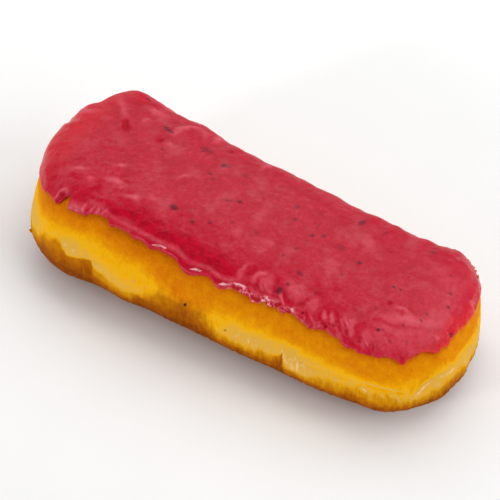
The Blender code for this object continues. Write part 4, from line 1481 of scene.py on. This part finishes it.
# deeper crimson for the painted shade of the shoulder, the valleys, the hollows and the lip's underside
DEEP_AND_SHADE_COLOURS = ((0.36, srgb(160, 0, 26)), (0.64, srgb(208, 4, 48)))
# whiter bloom, partly dried sugar and partly painted sheen
BLOOM_AND_SHEEN = srgb(202, 82, 94)
# pale paint for ridges, folds and the right end, much of it painted highlight and painted light; the pits'
# red, partly painted shade; fruit flecks
PALE_AND_HIGHLIGHT, PIT_AND_SHADE, FLECK = srgb(225, 89, 106), srgb(182, 0, 26), srgb(76, 14, 36)
THIN, RIM = srgb(216, 18, 34), srgb(224, 74, 16)  # icing that the crust shines through, and its very edge
# the froth's pale colour with painted highlights in it, and the near-white of the painted glints
FROTH_AND_HIGHLIGHT, PAINTED_GLINT = srgb(242, 172, 184), srgb(250, 208, 216)
BORDER_SWING = 0.8  # how far noise frays the borders of the marks
PALE_AND_HIGHLIGHT_COVERS, PAINTED_GLINT_COVERS, RIM_COVERS, FLECK_COVERS = 0.86, 0.85, 0.8, 0.85
SATIN, SATIN_SWING = 0.24, 0.14  # roughness of the dried skin
SHINE_SMOOTHS, DEEP_SMOOTHS, PIT_DULLS, SMOOTHEST = -0.16, -0.08, 0.5, 0.09  # changes of it, and its least
SKIN_HEIGHT, GRIT_HEIGHT = 0.26, 0.05  # mm


def icing_finish():
    """The icing: a cloudy red, then the colour of each mark over it, then its gloss and its bump."""
    berry = Finish("berry_icing")
    cloud = berry.math("MULTIPLY_ADD", berry.grain(6.0, 5.0, 0.65), 1.3, -0.20)
    fine = berry.swung(berry.grain(1.6, 5.0, 0.95), 2.3)
    colour = berry.ramp(berry.math("ADD", cloud, fine), ICING_COLOURS)
    # the bloom: whiter patches, partly dried sugar and partly painted sheen; small patches, held together by
    # wide ones
    wide = berry.math("MULTIPLY_ADD", berry.grain(9.0, 3.0, 0.6), 1.6, -1.42)
    dried_and_sheen = berry.math("MULTIPLY_ADD", berry.grain(3.4, 5.0, 0.75), 1.3, wide)
    colour = berry.blend(berry.math("MAXIMUM", dried_and_sheen, 0.0), colour, BLOOM_AND_SHEEN)
    # thin places, and deep places that are mostly painted shade, with borders broken up by one noise
    breaks = berry.grain(1.1, 4.0, 0.7)
    colour = berry.blend(berry.ragged("thin", breaks, BORDER_SWING), colour, THIN)
    rim = berry.math("MULTIPLY", berry.ragged("rim", breaks, BORDER_SWING), RIM_COVERS)
    colour = berry.blend(rim, colour, RIM)
    deep = berry.ramp(berry.grain(2.0, 5.0, 0.8, (0.6, 1, 1)), DEEP_AND_SHADE_COLOURS)
    colour = berry.blend(berry.ragged("deep", breaks, BORDER_SWING), colour, deep)
    # what the spatula and the air did: pale ridges, partly painted highlight, froth with painted highlights,
    # pits with some painted shade, and painted glints
    # pale ridges and folds, partly pale sugar and partly painted highlight, and the painted light of the
    # right end
    pale_and_highlight = berry.ragged("pale", berry.grain(2.0, 5.0, 0.75), 1.2)
    colour = berry.blend(berry.math("MULTIPLY", pale_and_highlight, PALE_AND_HIGHLIGHT_COVERS), colour, PALE_AND_HIGHLIGHT)
    # froth: paler foam with painted highlights on its wet bubbles
    bubbles = berry.math("MULTIPLY_ADD", berry.grain(1.5, 4.0, 0.7, (1, 1, 1.6)), 7.0, -3.2)
    colour = berry.blend(berry.math("MULTIPLY", berry.mark("froth"), bubbles), colour, FROTH_AND_HIGHLIGHT)
    # pits: burst bubbles and the cores of valleys and hollows in darker red, partly painted shade
    colour = berry.blend(berry.mark("pit"), colour, PIT_AND_SHADE)
    # painted glints: near-white highlights painted into the colour along the lip
    glint = berry.math("MULTIPLY", berry.ragged("glint", breaks, 1.0), PAINTED_GLINT_COVERS)
    colour = berry.blend(glint, colour, PAINTED_GLINT)
    # fine specks of fruit from noise, and the larger flecks from their mark
    specks = berry.math("MINIMUM", berry.math("MULTIPLY_ADD", berry.grain(0.9, 2.0, 0.5), 10.0, -6.55), 1.0)
    colour = berry.blend(berry.math("MULTIPLY", berry.math("MAXIMUM", specks, 0.0), 0.5), colour, FLECK)
    flecks = berry.ragged("fleck", berry.grain(0.6, 3.0, 0.8), 2.0)
    colour = berry.blend(berry.math("MULTIPLY", flecks, FLECK_COVERS), colour, FLECK)
    # satin where it dried, glossy on the lip and the deep shoulder
    rough = berry.math("MULTIPLY_ADD", berry.grain(3.0), SATIN_SWING, SATIN)
    rough = berry.math("MULTIPLY_ADD", berry.mark("shine"), SHINE_SMOOTHS, rough)
    rough = berry.math("MULTIPLY_ADD", berry.mark("deep"), DEEP_SMOOTHS, rough)
    # a dull pit doesn't mirror the ceiling
    rough = berry.math("MULTIPLY_ADD", berry.mark("pit"), PIT_DULLS, rough)
    rough = berry.math("MAXIMUM", rough, SMOOTHEST)
    skin = berry.bump(berry.grain(2.2, 4.0, 0.65), SKIN_HEIGHT)
    grit = berry.bump(berry.grain(0.6, 3.0, 0.6), GRIT_HEIGHT, under=skin)
    berry.shade(Base_Color=colour, Roughness=rough, Normal=grit, Specular_IOR_Level=0.18)
    berry.shade(Subsurface_Weight=0.15, Subsurface_Radius=(1.0, 0.25, 0.2), Subsurface_Scale=0.8 * MM)
    return berry.material


icing.data.materials.append(icing_finish())
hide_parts("icing")
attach(icing, "root")
print("icing finish:", len(icing.data.materials[0].node_tree.nodes), "nodes")

# %% [markdown]
# ## A few crumbs
#
# Crumbs of crust cling to the back of the right end's rim, and two to the foot of the left end. Each is a
# small ball that noise pulls out of shape, and they are joined into one piece that wears the crust's
# finish in brown.

# %% Crumbs on the rim and the foot
RIM_CRUMBS = 22
# place, turn, mm out from the dough, radius in mm
FOOT_CRUMBS = ((31.2, -7, 0.1, 0.55), (30.6, -9, 0.2, 0.40))
CRUMB_BAKE = 0.68
RIM_FROM, RIM_RUN, RIM_LEVEL = 234, 16, 33.0  # place, mm along the rim, and turn
RIM_BEND, RIM_CLIMB = 239, 1.2  # place from which the rim rises, and degrees for each mm


def rim_crumbs():
    """Crumbs along the back of the right end's rim, spaced by a seeded draw."""
    draw = random.Random(SEED + 2)
    for count in range(RIM_CRUMBS):
        at = RIM_FROM + RIM_RUN * (count + draw.random()) / RIM_CRUMBS
        level = RIM_LEVEL + RIM_CLIMB * max(at - RIM_BEND, 0) + draw.uniform(-0.8, 1.5)
        yield at, level, draw.uniform(1.8, 2.15), draw.uniform(0.20, 0.40)


def build_crumbs():
    """All crumbs as one object."""
    heap = bmesh.new()
    for number, (at, level, out, radius) in enumerate(FOOT_CRUMBS + tuple(rim_crumbs())):
        spot, turn = np.array([at]), np.array([float(level)])
        centre = Vector((dough_points(spot, turn) + dough_normals(spot, turn) * out)[0] + SHIFT)
        ball = bmesh.ops.create_icosphere(heap, subdivisions=3, radius=radius)
        for vert in ball["verts"]:
            pull = 1 + 0.9 * noise.noise(vert.co * 2.2 + Vector((number * 3.7, 0, 0)))
            vert.co = (vert.co * pull + centre) * MM
    mesh = bpy.data.meshes.new("crumbs")
    heap.to_mesh(mesh)
    heap.free()
    layer = mesh.attributes.new("bake", "FLOAT", "POINT")
    layer.data.foreach_set("value", np.full(len(mesh.vertices), CRUMB_BAKE, np.float32))
    mesh.shade_smooth()
    made = bpy.data.objects.new("crumbs", mesh)
    bpy.context.scene.collection.objects.link(made)
    return made


crumbs = build_crumbs()
crumbs.data.materials.append(dough.data.materials[0])
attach(crumbs, "root")
print(RIM_CRUMBS + len(FOOT_CRUMBS), "crumbs,", len(crumbs.data.polygons), "triangles")

# %% [markdown]
# ## Floor and light
#
# Food on white needs a floor that goes almost to white and light that is soft from every side. The
# ceiling panel hangs behind the bar, where its top mirrors it, and gives the icing its whitish sheen. Its
# front edge ends behind the spine, so the shoulder that leans to the front mirrors only the dim world and
# stays deep red, which painted shade deepens further. A small lamp at the front adds real glints on the lip
# to the painted ones, and two windows, a low card and the world lift the sides.

# %% Floor
FLOOR_SIZE = 3.0


def floor_finish():
    """Dull paper that is nearly white."""
    paper = Finish("pale_floor")
    shade = paper.ramp(paper.grain(30.0), ((0.0, srgb(250, 250, 250)), (1.0, srgb(254, 254, 254))))
    paper.shade(Base_Color=shade, Roughness=0.9, Specular_IOR_Level=0.1)
    return paper.material


bpy.ops.mesh.primitive_plane_add(size=FLOOR_SIZE, location=(0, 0, 0))
floor = bpy.context.object
floor.name = "floor"
floor.data.materials.append(floor_finish())
print("floor:", FLOOR_SIZE, "m across")

# %% Lights
BAR_MIDDLE = (0, 0, 0.02)
WORLD_STRENGTH = 0.27


def towards(azimuth, elevation):
    """Direction from the bar: azimuth 0 lies towards -Y, 90 towards +X, and elevation is above the floor."""
    a, e = math.radians(azimuth), math.radians(elevation)
    return Vector((math.sin(a) * math.cos(e), -math.cos(a) * math.cos(e), math.sin(e)))


def softbox(name, place, size, power, aim=None, turn=0):
    """A soft rectangular light at a place in metres. It faces down, turned by some degrees, or is aimed."""
    data = bpy.data.lights.new(name, "AREA")
    data.shape = "RECTANGLE"
    data.size, data.size_y = size
    data.energy = power
    lamp = bpy.data.objects.new(name, data)
    lamp.location = place
    lamp.rotation_euler = (0, 0, math.radians(turn))
    if aim is not None:
        lamp.rotation_euler = (Vector(aim) - Vector(place)).to_track_quat("-Z", "Y").to_euler()
    bpy.context.scene.collection.objects.link(lamp)


softbox("ceiling", (-0.3, 0.98, 1.0), (2.2, 1.6), 17.4, turn=-9)
softbox("front_lamp", towards(-25, 15) * 1.6, (0.30, 0.24), 8, aim=BAR_MIDDLE)
softbox("left_window", towards(-95, 32) * 1.5, (1.6, 1.1), 3.3, aim=BAR_MIDDLE)
softbox("right_window", towards(95, 28) * 1.5, (1.3, 1.0), 9.3, aim=BAR_MIDDLE)
softbox("front_card", towards(0, 6) * 1.2, (1.6, 0.4), 2.2, aim=BAR_MIDDLE)

world = bpy.data.worlds.new("bright_room")
world.use_nodes = True
background = world.node_tree.nodes["Background"]
background.inputs["Color"].default_value = (1, 1, 1, 1)
background.inputs["Strength"].default_value = WORLD_STRENGTH
bpy.context.scene.world = world
bpy.context.scene.view_settings.view_transform = "Standard"
bpy.context.scene.view_settings.look = "None"

# %% [markdown]
# ## Camera
#
# A long lens from well back keeps the bar's far end nearly as large as its near end. The angle, the
# height and the distance were found by fitting the bar's outline.

# %% Camera
CAMERA_AZIMUTH, CAMERA_ELEVATION = 33.709, 46.0
CAMERA_AWAY = 0.85
LENS = 180.64
LOOK_AT = Vector((-1.983, 2.115, 18.0)) * MM

back = towards(CAMERA_AZIMUTH, CAMERA_ELEVATION)
camera_data = bpy.data.cameras.new("camera")
camera_data.lens = LENS
camera_data.clip_start = 0.01
camera = bpy.data.objects.new("camera", camera_data)
camera.location = LOOK_AT + back * CAMERA_AWAY
camera.rotation_euler = (-back).to_track_quat("-Z", "Y").to_euler()
bpy.context.scene.collection.objects.link(camera)
bpy.context.scene.camera = camera
print("camera at", [round(value, 3) for value in camera.location], "m")

# %% [markdown]
# The visual model has to stay in the solids' box but for a few millimetres.
